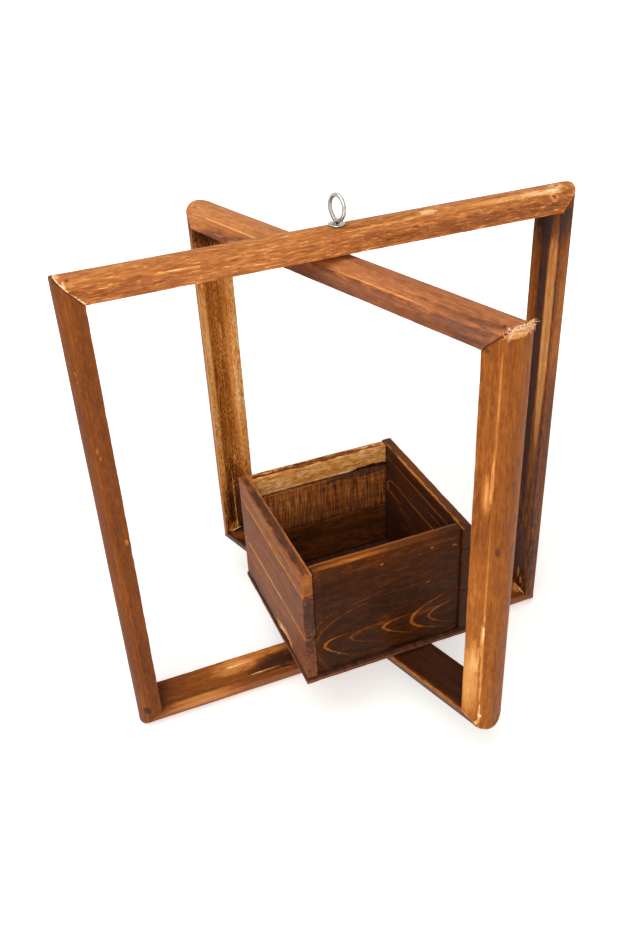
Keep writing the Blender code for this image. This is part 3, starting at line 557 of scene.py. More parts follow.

# The tables' lengths are in mm in a piece's own space, from its middle: X along the grain, Y out from a member's
# inner face or through a board, Z towards a member's planed side or up a board.
# Marks, some of them painted shade and painted light: middle, reach, tone that is added and, where they aren't the
# usual ones, softness and raggedness of the rim
MARKS_AND_PAINTED_LIGHT = {
    "outer_top_rail": (
        (0, 16.5, -2, 400, 6, 14, 0.05, 0.5), (0, 5, 17, 400, 7, 3.5, -0.045, 0.3),
        (-201, 16, -1, 5, 4, 6.5, 0.3), (-195, 12, 12, 1.2, 7, 5, 0.24), (146, 15.4, 7.5, 40, 3.6, 3, 0.2, 0.4),
        (170, 15.4, 7, 16, 4, 3.4, 0.16, 0.3), (186, 15.5, 5, 9, 4, 6, 0.14), (188, 16.5, 1, 6, 4, 4.4, 0.16),
        (188, 16.5, 1, 1.6, 4, 1.6, -0.5, 0.4, 0.2), (179, 12.5, 13, 3.6, 5, 3.4, 0.16, 0.3, 0.3),
        (179, 12.5, 13, 1.5, 4, 1.5, -0.34, 0.4, 0.2), (190, 12, 9, 3, 6, 6, -0.12),
        (202, 12, 0, 7, 9, 16, -0.1, 0.4), (74, 15.6, 5, 6.5, 3, 3, 0.3), (62, 15.2, 8, 9, 2, 1.2, 0.14),
        (34, 14.6, 9.9, 26, 1, 1, 0.16), (110, 6, 16.8, 60, 4, 3, -0.1, 0.4),
        (-40, 6, 16.8, 90, 4, 3, 0.03, 0.4), (-120, 11, 14.6, 18, 1, 1, 0.2),
    ),
    "outer_right_leg": (
        (-108, 1, 9.6, 146, 14, 7.6, 0.385, 0.15, 0.25), (-170, 1, -14, 50, 12, 7, -0.14, 0.6, 0.4),
        # painted shade: the first mark is a dark band in the far side of the inner face's hollow, the second a dark
        # patch at the leg's tip under the top rail
        (-90, 2.5, -4, 210, 8, 4.8, -0.34, 0.4, 0.4), (-188, 1, 2, 22, 12, 24, -0.4, 0.5, 0.6),
        (-60, 0, -14.5, 190, 3, 3, 0.08, 0.3), (0, 0.3, 18.8, 400, 1.2, 1.2, -0.14, 0.3),
        (0, 8, 16.5, 400, 7, 3, -0.08, 0.3), (176, 2.5, 0, 86, 5, 24, -0.2, 0.5), (-198, 8, 16, 4, 7, 5, 0.16),
        (178, 2.5, 0, 6, 3, 1.6, 0.5), (184, 2.5, 5, 5, 3, 1.8, 0.5), (188, 2.5, 10, 4, 3, 2, 0.5),
    ),
    "outer_bottom_rail": (
        # painted highlight: the first mark lightens the planed side at the rail's left end
        (148, 3, 16, 36, 6, 5, 0.26, 0.4), (150, 2.5, -4, 34, 4, 10, 0.04, 0.5),
        # painted light: both marks are a pool of light that falls past the box onto the inner face
        (106, 2.5, -6, 24, 4, 5.5, 0.28, 0.4), (92, 0.5, -14, 40, 4, 5, 0.26, 0.3),
        # painted shadow: the first mark is the box's shadow on the inner face; the two thin marks after it are bright
        # lines of painted light along that shadow's edge
        (68, 2.5, -1, 28, 4, 9, -0.3, 0.3), (84, 2.5, 6, 14, 3, 0.9, 0.45), (68, 1.5, 11.5, 14, 3, 0.9, 0.45),
        (186, 1, 4, 12, 5, 22, -0.14, 0.4), (-187, 2.5, 5, 8, 4, 9, 0.3),
    ),
    "outer_left_leg": (
        (0, 13.2, 13.8, 400, 0.9, 0.9, 0.05, 0.4), (0, 5, 17, 400, 7, 2.4, -0.04, 0.3),
        (141, 15.2, 11.2, 1.8, 1, 1, 0.24), (135, 15.1, 11.6, 2.2, 0.8, 0.8, 0.18),
        (79, 11.2, 14.7, 2.4, 0.9, 0.9, 0.22), (73, 9.6, 15.3, 1.8, 0.7, 0.7, 0.2),
        (-62, 15.8, 10.6, 2, 1, 1, 0.28), (-4, 2.8, 17.9, 3, 1.2, 1.2, 0.26),
        (-16, 0.1, 18.9, 4, 1.4, 1.4, 0.3), (-88, 10.8, 14.9, 78, 0.7, 0.7, 0.08),
        (-190, 12.8, 14.1, 4.4, 3.6, 3.6, -0.2), (-178, 15, 11, 14, 1, 1, 0.08),
    ),
    "inner_top_rail": (
        (-130, 14, 2, 100, 9, 17, 0.13, 0.5), (80, 5, 17.5, 180, 8, 4.2, -0.2, 0.3),
        (-90, 12, 13.4, 76, 0.9, 0.9, 0.2), (60, 11.4, 13.6, 60, 0.9, 0.9, 0.2),
        (80, 6, 16.5, 60, 1.4, 1, 0.06), (-160, 6, 16.5, 22, 5, 3.4, 0.12, 0.3),
        # painted shade: the first mark darkens the lower edge of the planed side at the rail's left end
        (-132, 1, 18.4, 22, 3, 2.4, -0.2, 0.4), (135, 11, 12, 34, 8, 9, -0.09, 0.5),
        (160, 15, 10, 14, 5, 4, -0.12, 0.4), (177.5, 16, 3, 1.4, 4, 10, 0.3),
    ),
    "inner_front_leg": (
        (0, 6, 16.5, 400, 7, 3, -0.02, 0.3), (-172.5, 17, 1, 3.2, 6, 13, 0.34, 0.12),
        (-160.5, 3.5, 18, 1.6, 4, 1.6, -0.14), (-124, 13.2, 13.6, 44, 0.8, 0.8, 0.15),
        (-66, 12.4, 14.2, 20, 1.2, 1.2, 0.26, 0.3), (-50, 10, 15.2, 16, 2.4, 1.4, 0.2, 0.4),
        (-54, 8, 16, 16, 2.4, 2, 0.14, 0.3), (20, 13.4, 13.8, 60, 0.8, 0.9, 0.14),
        (56, 6, 16.5, 56, 9, 4, 0.07, 0.4), (74, 12.6, 14.2, 12, 1.4, 1.6, 0.26, 0.3),
        (124, 6, 16.8, 34, 9, 4, 0.31, 0.6), (100, 9, 15.6, 16, 3, 2, 0.1, 0.4),
        (112, 13.6, 13.4, 46, 1, 1.1, 0.2), (-5, 16.7, 9, 3.6, 2.2, 2.2, -0.14), (160, 14, 13, 12, 1, 1, 0.26),
        (160, 14.6, 12.2, 2, 1.4, 1.4, 0.4), (168, 12.5, 14.2, 2, 1.4, 1.4, 0.4),
        (0, 8, -17.6, 400, 9, 2.4, 0.1, 0.3),
    ),
    "inner_bottom_rail": (
        (-120, 0.6, 18.6, 90, 1.8, 1.4, 0.34), (-120, 5, 17, 90, 5, 3, 0.2, 0.3),
        (-110, 0, -18.6, 80, 1.4, 0.8, 0.3, 0.3), (152, 1, 10, 9, 3, 7, 0.3),
    ),
    "inner_back_leg": (
        (20, 1, -15, 130, 8, 8, 0.17, 0.4), (-20, 0, 16, 100, 6, 4.5, 0.2, 0.4),
        (110, 0, 15, 70, 6, 6, 0.12, 0.4), (-40, 2.5, 3, 70, 4, 6, -0.12, 0.5),
        # painted shade: the second mark darkens the leg's tip, where the top rail shades it, almost to black
        (140, 2.5, 4, 30, 6, 16, -0.1, 0.5), (162, 2, 0, 22, 9, 26, -0.42, 0.4, 0.5),
        (-140, 1, 0, 46, 6, 16, -0.36, 0.5), (58, 2.5, -1, 9, 3, 1.2, 0.16), (-128, 2.5, 3.6, 30, 2, 0.7, 0.5),
        (-158, 1, 8, 6, 3, 7, 0.4),
    ),
    "left_wall_board_1": (
        (-27, 4, -17.5, 13, 6, 9, 0.42), (-12, 4, -17, 9, 6, 5, 0.34), (20, 5, 6, 56, 3, 4, 0.1, 0.3),
        (0, 5, 21.5, 90, 4, 1.1, 0.34), (0, 5, 12, 50, 4, 0.7, 0.12), (-79, 0, -4, 3, 9, 14, -0.1, 0.6),
        (-79, 0, 16, 3, 9, 10, -0.28, 0.3), (40, 5, -18, 40, 4, 5, -0.16, 0.4),
    ),
    "left_wall_board_2": (
        (0, 5, 21.5, 90, 4, 1.1, 0.34), (-10, 5, 6, 60, 4, 0.8, 0.14), (20, 5, -6, 50, 4, 0.7, 0.12),
        (0, 5, -19, 90, 4, 3, 0.08, 0.4), (-79, 0, 0, 3, 9, 30, -0.32, 0.3),
    ),
    "left_wall_board_3": (
        (0, 0, 11.4, 70, 6, 1.4, -0.2, 0.3, 0.4), (0, 5, 3, 90, 4, 0.8, 0.16), (0, 5, -6, 50, 4, 0.8, 0.12),
        (0, -3.6, 11, 90, 1.4, 1.2, 0.2), (0, 0, 11, 90, 3, 1, -0.1, 0.3), (-79, 0, 4, 2, 8, 7, 0.12),
    ),
    "right_wall_board_1": (
        (29, 5, 18, 5, 4, 0.8, 0.3),
    ),
    "right_wall_board_2": (
        (10, 5, 9, 52, 4, 0.8, 0.36), (48, 5, -4, 16, 4, 0.9, 0.3), (26, 5, -9, 14, 4, 0.9, 0.3),
        (64, 5, -2, 3, 4, 5, 0.34),
    ),
    "right_wall_board_3": (
        (0, 5, -2, 66, 4, 0.8, 0.36), (0, 3.6, 11, 90, 1.4, 1.2, 0.34), (0, 0, 11.4, 90, 7, 1.6, 0.18, 0.3),
    ),
    "back_wall_board_2": (
        (-52, -5, 4, 44, 4, 22, 0.18, 0.5), (40, -5, 20, 34, 4, 3.5, -0.2, 0.3),
    ),
    "back_wall_board_3": (
        (0, -4, -4, 80, 4, 2.4, -0.1, 0.5), (10, -4, -10.4, 90, 4, 1.2, -0.6), (54, -4, -9.4, 22, 4, 3.2, -0.7),
        (0, -1, 11, 80, 3, 1, -0.4, 0.3), (0, 4, 0, 80, 3, 14, -0.4, 0.3),
    ),
    "front_wall_board": (
        (-4, -5, -17, 6, 3, 4, 0.16, 0.4), (-14, -5, -21, 9, 3, 2, 0.12, 0.4),
        (36, -5, -22, 14, 3, 2, 0.1, 0.4), (-34, -3, 55, 30, 3, 1, 0.26, 0.4),
        (-62, -4, 20, 3, 3, 60, 0.05, 0.4), (-10, -5, 52, 90, 4, 11, 0.06, 0.8),
        (48, -5, 47, 16, 3, 1.4, 0.12, 0.4), (39, -5, 44, 1.6, 3, 0.8, 0.4), (60, -5, 40, 2.2, 3, 1, 0.4),
        (-6, -5, 42, 1.4, 3, 0.7, 0.4), (36, -5, 9, 2.4, 3, 0.7, 0.3),
        (0, 3.6, 55.6, 200, 2.2, 2.4, 0.24, 0.3, 0.7), (-20, -1, 56, 80, 8, 2.6, 0.13, 0.7),
    ),
    "base_board": (
        (0, 0, 0.2, 400, 400, 0.7, 0.16), (0, 0, 2.2, 400, 400, 1, -0.14),
    ),
}

# Dents: middle, reach and depth
DENTS = {
    "outer_top_rail": (
        (-202, 15, 0, 5, 5, 7, 0.6), (73, 16.5, 4, 5, 4, 4, 0.5),
    ),
    "outer_left_leg": (
        (138, 15.2, 11.4, 5, 3, 3, 0.6), (76, 10.5, 15, 5, 3, 3, 0.6), (-62, 15.8, 10.6, 4, 3, 3, 0.5),
        (-4, 2.8, 18, 4, 3, 3, 0.6), (-15, 0.5, 19, 5, 3, 3, 0.6),
    ),
    "inner_top_rail": (
        (178, 16, 4, 3, 5, 13, 0.8),
    ),
    "inner_front_leg": (
        (-174, 17, 2, 5, 6, 16, 1.1), (-160, 13, 13.5, 8, 3, 3, 0.5), (-159, 4, 18, 4, 5, 2, 0.8),
    ),
    "left_wall_board_1": (
        (-24, 5, -23, 16, 4, 6, 1.8), (-4, 5, -23, 8, 4, 3, 1.4), (20, 5, -23, 20, 4, 4, 1.2),
        (56, 5, -23, 12, 4, 4, 1.2),
    ),
    "back_wall_board_3": (
        (10, -5, -10.4, 40, 4, 2.4, 1.6), (46, -5, -9.4, 20, 4, 4, 1.8), (-30, -5, -10.4, 26, 4, 2.4, 1.2),
    ),
}

# Arcs of the grain on a board's face: tip along and up, rise of the curve, lean, length, width, tone
ARCS = {
    "right_wall_board_2": (
        (64, 3, -5, 0.1, -96, 1.7, 0.42), (52, -2, -3, 0.1, -60, 1.1, 0.24),
    ),
    "front_wall_board": (
        (-58, -25.8, 6.7, -0.29, 34, 2.6, 0.42), (-34.5, -26, 3.8, -0.15, 60, 1.5, 0.24),
        (-4.8, -25.5, 4.4, -0.2, 34, 3.2, 0.34), (20.7, -27.7, 11, 0, 46, 3, 0.35),
        (37.6, -28.9, 7, -0.1, 40, 1.9, 0.3), (-66, -25, 50, -0.35, 140, 1.6, 0.16),
        (-70, -20, 60, -0.35, 140, 1.3, 0.12),
    ),
}


# Materials

class Graph:
    """Adds and joins the shader nodes of one tree."""

    def __init__(self, tree):
        self.tree = tree

    def add(self, kind, values=None, **settings):
        """A new node with its settings, and with inputs set or joined by name or by place."""
        node = self.tree.nodes.new("ShaderNode" + kind)
        for setting, value in settings.items():
            setattr(node, setting, value)
        for key, value in (values or {}).items():
            self.feed(node.inputs[key], value)
        return node

    def feed(self, socket, value):
        """Join a socket, or set it when the value is a plain one."""
        if isinstance(value, bpy.types.NodeSocket):
            self.tree.links.new(value, socket)
        else:
            socket.default_value = value

    def sum(self, operation, *values, clamp=False):
        return self.add("Math", dict(enumerate(values)), operation=operation, use_clamp=clamp).outputs[0]

    def plus(self, tone, share, weight, clamp=False):
        return self.sum("MULTIPLY_ADD", share, weight, tone, clamp=clamp)

    def vector(self, operation, *values):
        node = self.add("VectorMath", dict(enumerate(values)), operation=operation)
        return node.outputs["Value" if operation == "LENGTH" else "Vector"]

    def axes(self, vector):
        return self.add("SeparateXYZ", {0: vector}).outputs

    def own_space(self, place):
        """Object coordinates turned into a piece's own millimetres, with its grain along X."""
        values = {
            "Location": place.to_translation(),
            "Rotation": place.to_euler("XYZ"),
            "Scale": (MM, MM, MM),
            "Vector": self.add("TexCoord").outputs["Object"],
        }
        return self.add("Mapping", values, vector_type="TEXTURE").outputs["Vector"]

    def noise(self, vector, stretch, seed, detail, roughness):
        """Noise from 0 to 1 over a vector in millimetres, stretched per axis."""
        spot = self.vector("MULTIPLY_ADD", vector, stretch, (seed, seed * 1.3, -seed * 0.7))
        values = {"Vector": spot, "Scale": 1.0, "Detail": detail, "Roughness": roughness}
        return self.add("TexNoise", values).outputs["Fac"]

    def spread(self, value, low, high, to_low=0.0, to_high=1.0):
        """Map a range of a value smoothly onto another and clamp it."""
        values = dict(enumerate((value, low, high, to_low, to_high)))
        return self.add("MapRange", values, interpolation_type="SMOOTHSTEP").outputs[0]

    def ramp(self, value, stops):
        node = self.add("ValToRGB", {"Fac": value})
        ramp = node.color_ramp
        while len(ramp.elements) < len(stops):
            ramp.elements.new(0.5)
        for element, (place, shade) in zip(ramp.elements, stops):
            element.position = place
        for element, (place, shade) in zip(ramp.elements, stops):
            element.color = (*shade, 1.0)
        return node.outputs["Color"]

    def mixed(self, share, first, second):
        shades = [part if isinstance(part, bpy.types.NodeSocket) else (*part, 1.0) for part in (first, second)]
        return self.add("Mix", {0: share, 6: shades[0], 7: shades[1]}, data_type="RGBA").outputs[2]

    def seen(self):
        """1 for what the camera sees straight, mirrored or through glass, 0 for light on the pieces."""
        path = self.add("LightPath").outputs
        seen = self.sum("MAXIMUM", path["Is Camera Ray"], path["Is Glossy Ray"])
        return self.sum("MAXIMUM", seen, path["Is Transmission Ray"])


class Finish(Graph):
    """The node tree of a new material with one surface."""

    def __init__(self, name):
        self.material = bpy.data.materials.new(name)
        self.material.use_nodes = True
        super().__init__(self.material.node_tree)
        self.tree.nodes.clear()
        self.surface = self.add("BsdfPrincipled")
        self.add("OutputMaterial", {"Surface": self.surface.outputs["BSDF"]})

    def look(self, name, value):
        self.feed(self.surface.inputs[name], value)

    def bump(self, height, strength, distance):
        bump = self.add("Bump", {"Strength": strength, "Distance": distance, "Height": height})
        self.look("Normal", bump.outputs["Normal"])


# Layers of the wood's finish: change per millimetre along the grain and across it, shift, detail and roughness
# of the noise, then the range of it that is spread over the layer's share
Layer = namedtuple("Layer", "grain shift detail roughness range")
FIBRE = Layer((0.07, 0.75, 0.75), 0.0, 3.0, 0.65, (0.34, 0.66))
STREAK = Layer((0.008, 0.18, 0.18), 11.0, 2.0, 0.6, (0.34, 0.66))
CLOUD = Layer((0.011, 0.03, 0.03), 17.0, 2.0, 0.5, (0.3, 0.7))
MOTTLE = Layer((0.45, 1.0, 1.0), 23.0, 4.0, 0.66, (0.38, 0.62))
DASH = Layer((0.12, 1.25, 1.25), 31.0, 1.5, 0.5, (0.6, 0.7))
SAW = Layer((0.62, 0.62, 0.035), 41.0, 2.0, 0.7, (0.35, 0.65))
DARK_DASHES = (0.4, 0.3)
DARK_DASH_SHARE = -0.8
BOLD_RINGS = (0.36, 0.62)
RIM_SHIFT, RIM_FIBRES, RIM_MOTTLE = -0.4, 0.45, 0.35  # how the marks' rims break up

TONES = (
    (0.0, "char"), (0.2, "umber"), (0.4, "brown"), (0.56, "russet"), (0.72, "tan"), (0.87, "straw"), (1.0, "cream"),
)
GLOSS, GLOSS_SPREAD = 0.45, 0.25  # roughness of the wood and how much rougher its streaks get
WOOD_SHEEN = (1.0, 0.72, 0.5, 1.0)
ARC_SOFT_TIP = 0.8  # arcs start this far in, so that the fibres' wobble is even to both sides
RING_SCALE = 0.314  # the wave texture's scale at which its rings are one unit apart
ZINC_SHARE = 0.74  # how much of the zinc's light the drawn metal gives back


def wood_rings(graph, own, wood):
    """Growth rings round a pith beside the piece, from 0 to 1."""
    spot = graph.vector("MULTIPLY_ADD", own, (0.05, 1.0, 1.0), (wood.seed, -wood.pith[0], -wood.pith[1]))
    if wood.tilt:
        lean = graph.add("CombineXYZ", {"Y": graph.sum("MULTIPLY", graph.axes(own)["X"], wood.tilt)})
        spot = graph.vector("ADD", spot, lean.outputs[0])
    values = {"Vector": spot, "Scale": RING_SCALE / wood.ring_gap}
    values.update({"Distortion": 5.0, "Detail": 2.0, "Detail Scale": 0.6})
    rings = graph.add("TexWave", values, wave_type="RINGS", rings_direction="X", wave_profile="SAW")
    return graph.sum("POWER", rings.outputs["Fac"], wood.ring_edge)


def arc_share(graph, own, arc, wobble):
    """One pointed arc of the grain on a board's face, boldest at its tip."""
    axes = graph.axes(own)
    along = graph.plus(axes["X"], wobble, 2.0 * ARC_SOFT_TIP)
    along = graph.sum("SUBTRACT", along, arc.tip_along + ARC_SOFT_TIP)
    aside = graph.plus(graph.sum("SUBTRACT", axes["Z"], arc.tip_up), along, -arc.lean)
    bend = graph.sum("MULTIPLY", aside, graph.sum("MULTIPLY", aside, 1.0 / arc.rise))
    gap = graph.sum("ABSOLUTE", graph.sum("SUBTRACT", along, bend))
    line = graph.spread(gap, arc.width, 0.2 * arc.width)
    return graph.sum("MULTIPLY", line, graph.spread(along, arc.length, 0.1 * arc.length, 0.12, 1.0))


def mark_share(graph, own, mark, ragged):
    """One mark: an ellipsoid with a soft, ragged rim."""
    inverse = tuple(1.0 / reach for reach in mark.reach)
    shift = tuple(-spot / reach for spot, reach in zip(mark.middle, mark.reach))
    reach = graph.vector("LENGTH", graph.vector("MULTIPLY_ADD", own, inverse, shift))
    return graph.spread(graph.plus(reach, ragged, mark.rag), 1.0 + mark.edge, 1.0 - mark.edge)


def wood_material(name, place, wood, half_length=0.0):
    """Scorched softwood: fibres, streaks, mottled scorch, worn edges and the marks of one piece, some of which are
    painted shade and painted light, under a pinkish painted sheen.

    All but the sheen add to one tone, from charred at 0 to bare and torn at 1.
    """
    graph = Finish(name.replace("_", " "))
    own = graph.own_space(place)
    node = name.removesuffix("_wood")

    def layer(kind, size=1.0):
        grain = tuple(part * size for part in kind.grain)
        return graph.noise(own, grain, wood.seed + kind.shift, kind.detail, kind.roughness)

    fibre, streak, mottle = layer(FIBRE), layer(STREAK), layer(MOTTLE, 1.0 / wood.grain)
    cloud, dash = layer(CLOUD), layer(DASH)
    fibre_share = graph.spread(fibre, *FIBRE.range)
    streak_share = graph.spread(streak, *STREAK.range)
    mottle_share = graph.spread(mottle, *MOTTLE.range)

    tone = wood.tone - 0.5 * (wood.fibres + wood.streaks + wood.scorch + wood.cloud)
    tone += wood.rings / (1.0 + wood.ring_edge)
    tone = graph.plus(tone, fibre_share, wood.fibres)
    tone = graph.plus(tone, streak_share, wood.streaks)
    tone = graph.plus(tone, mottle_share, wood.scorch)
    tone = graph.plus(tone, graph.spread(cloud, *CLOUD.range), wood.cloud)
    if wood.rings:
        # some rings are bolder than others
        bold = graph.spread(cloud, *BOLD_RINGS, -0.6 * wood.rings, -1.5 * wood.rings)
        tone = graph.plus(tone, wood_rings(graph, own, wood), bold)
    if wood.saw:
        tone = graph.plus(tone, graph.spread(layer(SAW), *SAW.range, -0.4, 1.0), wood.saw)

    # the marks' rims are drawn out along the grain and broken up by the scorch
    ragged = graph.plus(graph.plus(RIM_SHIFT, fibre_share, RIM_FIBRES), mottle_share, RIM_MOTTLE)
    # the marks add to the tone; some of them are painted shade and painted light
    for row in MARKS_AND_PAINTED_LIGHT.get(node, ()):
        mark = Mark(row[:3], row[3:6], *row[6:])
        tone = graph.plus(tone, mark_share(graph, own, mark, ragged), mark.tone)
    for row in ARCS.get(node, ()):
        arc = Arc(*row)
        tone = graph.plus(tone, arc_share(graph, own, arc, fibre_share), arc.tone)
    if any(wood.mitre):
        # one side of the last millimetre before a mitre is lighter or darker than the other
        axes = graph.axes(own)
        reach = graph.sum("SUBTRACT", graph.sum("ABSOLUTE", axes["X"]), axes["Y"])
        reach = graph.plus(reach, fibre_share, 1.4)
        near = graph.spread(reach, half_length / MM - 0.9, half_length / MM - 0.1)
        tone = graph.plus(tone, near, graph.spread(axes["X"], -1.0, 1.0, *wood.mitre))

    edge = graph.add("Attribute", attribute_type="GEOMETRY", attribute_name=WORN)
    tone = graph.plus(tone, graph.sum("MULTIPLY", edge.outputs["Fac"], fibre_share), wood.worn)
    tone = graph.plus(tone, graph.spread(dash, *DASH.range), wood.dashes)
    tone = graph.plus(tone, graph.spread(dash, *DARK_DASHES), DARK_DASH_SHARE * wood.dashes, clamp=True)

    colours = bpy.context.scene.planter_wood
    scorched = graph.ramp(tone, [(stop, getattr(colours, shade)) for stop, shade in TONES])
    # painted sheen: the pinkish colour laid over the wood, stronger along the streaks, stands in for the soft light's
    # reflection
    film = graph.plus(0.7 * wood.bloom, streak_share, 0.6 * wood.bloom)
    graph.look("Base Color", graph.mixed(film, scorched, colours.painted_sheen_colour))
    graph.look("Roughness", graph.spread(streak, 0.2, 0.8, GLOSS, GLOSS + GLOSS_SPREAD))
    graph.look("Specular IOR Level", 0.15)
    graph.look("Specular Tint", WOOD_SHEEN)
    graph.bump(graph.plus(graph.plus(fibre, dash, 0.5), mottle, 0.6), 0.6, 0.0006)
    return graph.material


def metal_material(name, base, roughness):
    """Metal with fine drawn scratches and a slight dull film."""
    graph = Finish(name)
    own = graph.own_space(Matrix.Identity(4))
    film = graph.noise(own, (0.5, 0.5, 0.5), 4.0, 3.0, 0.6)
    scratch = graph.noise(own, (2.5, 2.5, 0.6), 9.0, 2.0, 0.6)
    dull = tuple(0.45 * part for part in base)
    graph.look("Base Color", graph.mixed(graph.spread(film, 0.35, 0.75, 0.0, 0.6), base, dull))
    graph.look("Roughness", graph.spread(scratch, 0.3, 0.7, roughness, roughness + 0.12))
    graph.look("Metallic", 1.0)
    graph.bump(scratch, 0.12, 0.0001)
    return graph.material


def glue_material(name, base):
    graph = Finish(name)
    cloud = graph.noise(graph.own_space(Matrix.Identity(4)), (0.7, 0.7, 0.7), 2.0, 2.0, 0.5)
    graph.look("Base Color", graph.mixed(graph.spread(cloud, 0.3, 0.7), base, tuple(0.7 * part for part in base)))
    graph.look("Roughness", 0.35)
    return graph.material


def dress(piece, material, body, slot, *nodes):
    """Give a finished piece its finish and its body, and hide the nodes that it stands for."""
    piece.data.materials.clear()
    piece.data.materials.append(material)
    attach(piece, body)
    if nodes:
        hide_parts(*nodes)


# The frames

def node_span(node, angle):
    """Lowest and highest corners of a node, seen along a frame turned by angle about Z."""
    turn = Matrix.Rotation(-angle, 3, "Z")
    places = [turn @ vertex.co for vertex in frame["nodes"][node].data.vertices]
    return [Vector([end(place[i] for place in places) for i in range(3)]) for end in (min, max)]


def frame_opening(members, angle):
    """Middle, half width and half height of a frame's opening, seen along the frame."""
    top, right, bottom, left = (node_span(item.node, angle) for item in members)
    low_x, high_x = left[1].x, right[0].x
    low_z, high_z = bottom[1].z, top[0].z
    middle = Vector(((low_x + high_x) / 2.0, (top[0].y + top[1].y) / 2.0, (low_z + high_z) / 2.0))
    return middle, (high_x - low_x) / 2.0, (high_z - low_z) / 2.0


def member_place(opening, quarter, angle):
    """Where a member stands, with X along it, Y outwards from its inner face and Z to its planed side."""
    middle, half_width, half_height = opening
    reach, half_length = (half_height, half_width) if quarter in (TOP, BOTTOM) else (half_width, half_height)
    place = (
        Matrix.Rotation(angle, 4, "Z")
        @ Matrix.Translation(middle)
        @ Matrix.Rotation(math.pi / 2.0 * quarter, 4, "Y")
        @ Matrix.Rotation(math.pi / 2.0, 4, "X")
        @ Matrix.Translation((0.0, reach, 0.0))
    )
    return place, half_length


def crown_arc(depth, side_across, side_depth, steps):
    """Points (across, depth) from the crown's middle to a side, level at the crown."""
    rise = depth - side_depth
    radius = (side_across ** 2 + rise ** 2) / (2.0 * rise)
    sweep = math.copysign(math.asin(min(1.0, abs(side_across) / radius)), side_across)
    angles = [math.pi / 2.0 - sweep * step / steps for step in range(steps + 1)]
    return [Vector((radius * math.cos(angle), depth - radius + radius * math.sin(angle))) for angle in angles]


def bent(start, middle, end, steps):
    """Points of a smooth bend from start to end that heads for the middle at both ends."""
    shares = [step / steps for step in range(steps + 1)]
    return [start.lerp(middle, share).lerp(middle.lerp(end, share), share) for share in shares]


def crown_outline(sizes, depth, planed_depth, round_depth):
    """The moulding's outline over the crown, from the planed side's heel to the round side's."""
    half, softening = sizes.width / 2.0, sizes.round_softening
    planed_side = half - sizes.planed_lean * planed_depth / sizes.planed_depth
    round_side = half - sizes.round_lean * round_depth / sizes.round_depth
    near = crown_arc(depth, planed_side, planed_depth, sizes.crown_steps)
    far = crown_arc(depth, -round_side, round_depth, sizes.crown_steps)
    heel, corner = Vector((-half, 0.0)), far[-1]
    starts = [corner + (point - corner).normalized() * softening for point in (far[-2], heel)]
    # the curve's own points stop where the rounding starts
    kept = [point for point in far[1:-1] if (point - corner).length > softening + 0.0008]
    return [Vector((half, 0.0)), *reversed(near), *kept, *bent(starts[0], corner, starts[1], 5), heel]


def full_outline(sizes):
    return crown_outline(sizes, sizes.depth, sizes.planed_depth, sizes.round_depth)


def top_outline(sizes):
    return crown_outline(sizes, sizes.top_depth, sizes.top_planed_depth, sizes.top_round_depth)


def outline_planes(outline):
    """Points and outward normals of the planes along an outline, in a member's own space."""
    planes = []
    for first, second in zip(outline, outline[1:]):
        way = second - first
        planes.append((Vector((0.0, first.y, first.x)), Vector((0.0, -way.x, way.y))))
    return planes


def moulding_stock(length_along, outline):
    """A blank planed to the moulding's section and relieved along its inner face."""
    sizes = bpy.context.scene.planter_moulding
    stock = block("moulding_stock", (length_along, sizes.depth, sizes.width), (0.0, sizes.depth / 2.0, 0.0))
    open_mesh(stock)
    for point, normal in outline_planes(outline):
        plane_off(point, normal)
    pick(stock, "FACE", lambda face: face.normal.y < -0.9)
    bpy.ops.mesh.inset(thickness=sizes.land)
    bpy.ops.mesh.inset(thickness=sizes.hollow / 2.0, depth=-sizes.hollow)
    ease(stock, sizes.arris, 2, lambda edge: runs_along(edge, 0) and is_sharp(edge, 20.0))
    close_mesh()
    return stock


MITRE_HOLD = 0.004  # wear fades out over this length before a mitre
LONG_EDGE = 0.1  # longer than any edge that isn't one along the member


def shank_holes(node):
    """Clearance for the eye's shank or the base screw where they pass through a rail."""
    if node.endswith("leg"):
        return []
    hardware = bpy.context.scene.planter_hardware
    fastening, width = ("base_screw", SCREW_SHANK) if "bottom" in node else ("screw_eye", hardware.wire)
    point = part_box(fastening)[0][2] - hardware.clearance
    return [upright_hole(node, width + 2.0 * hardware.clearance, point=point)]


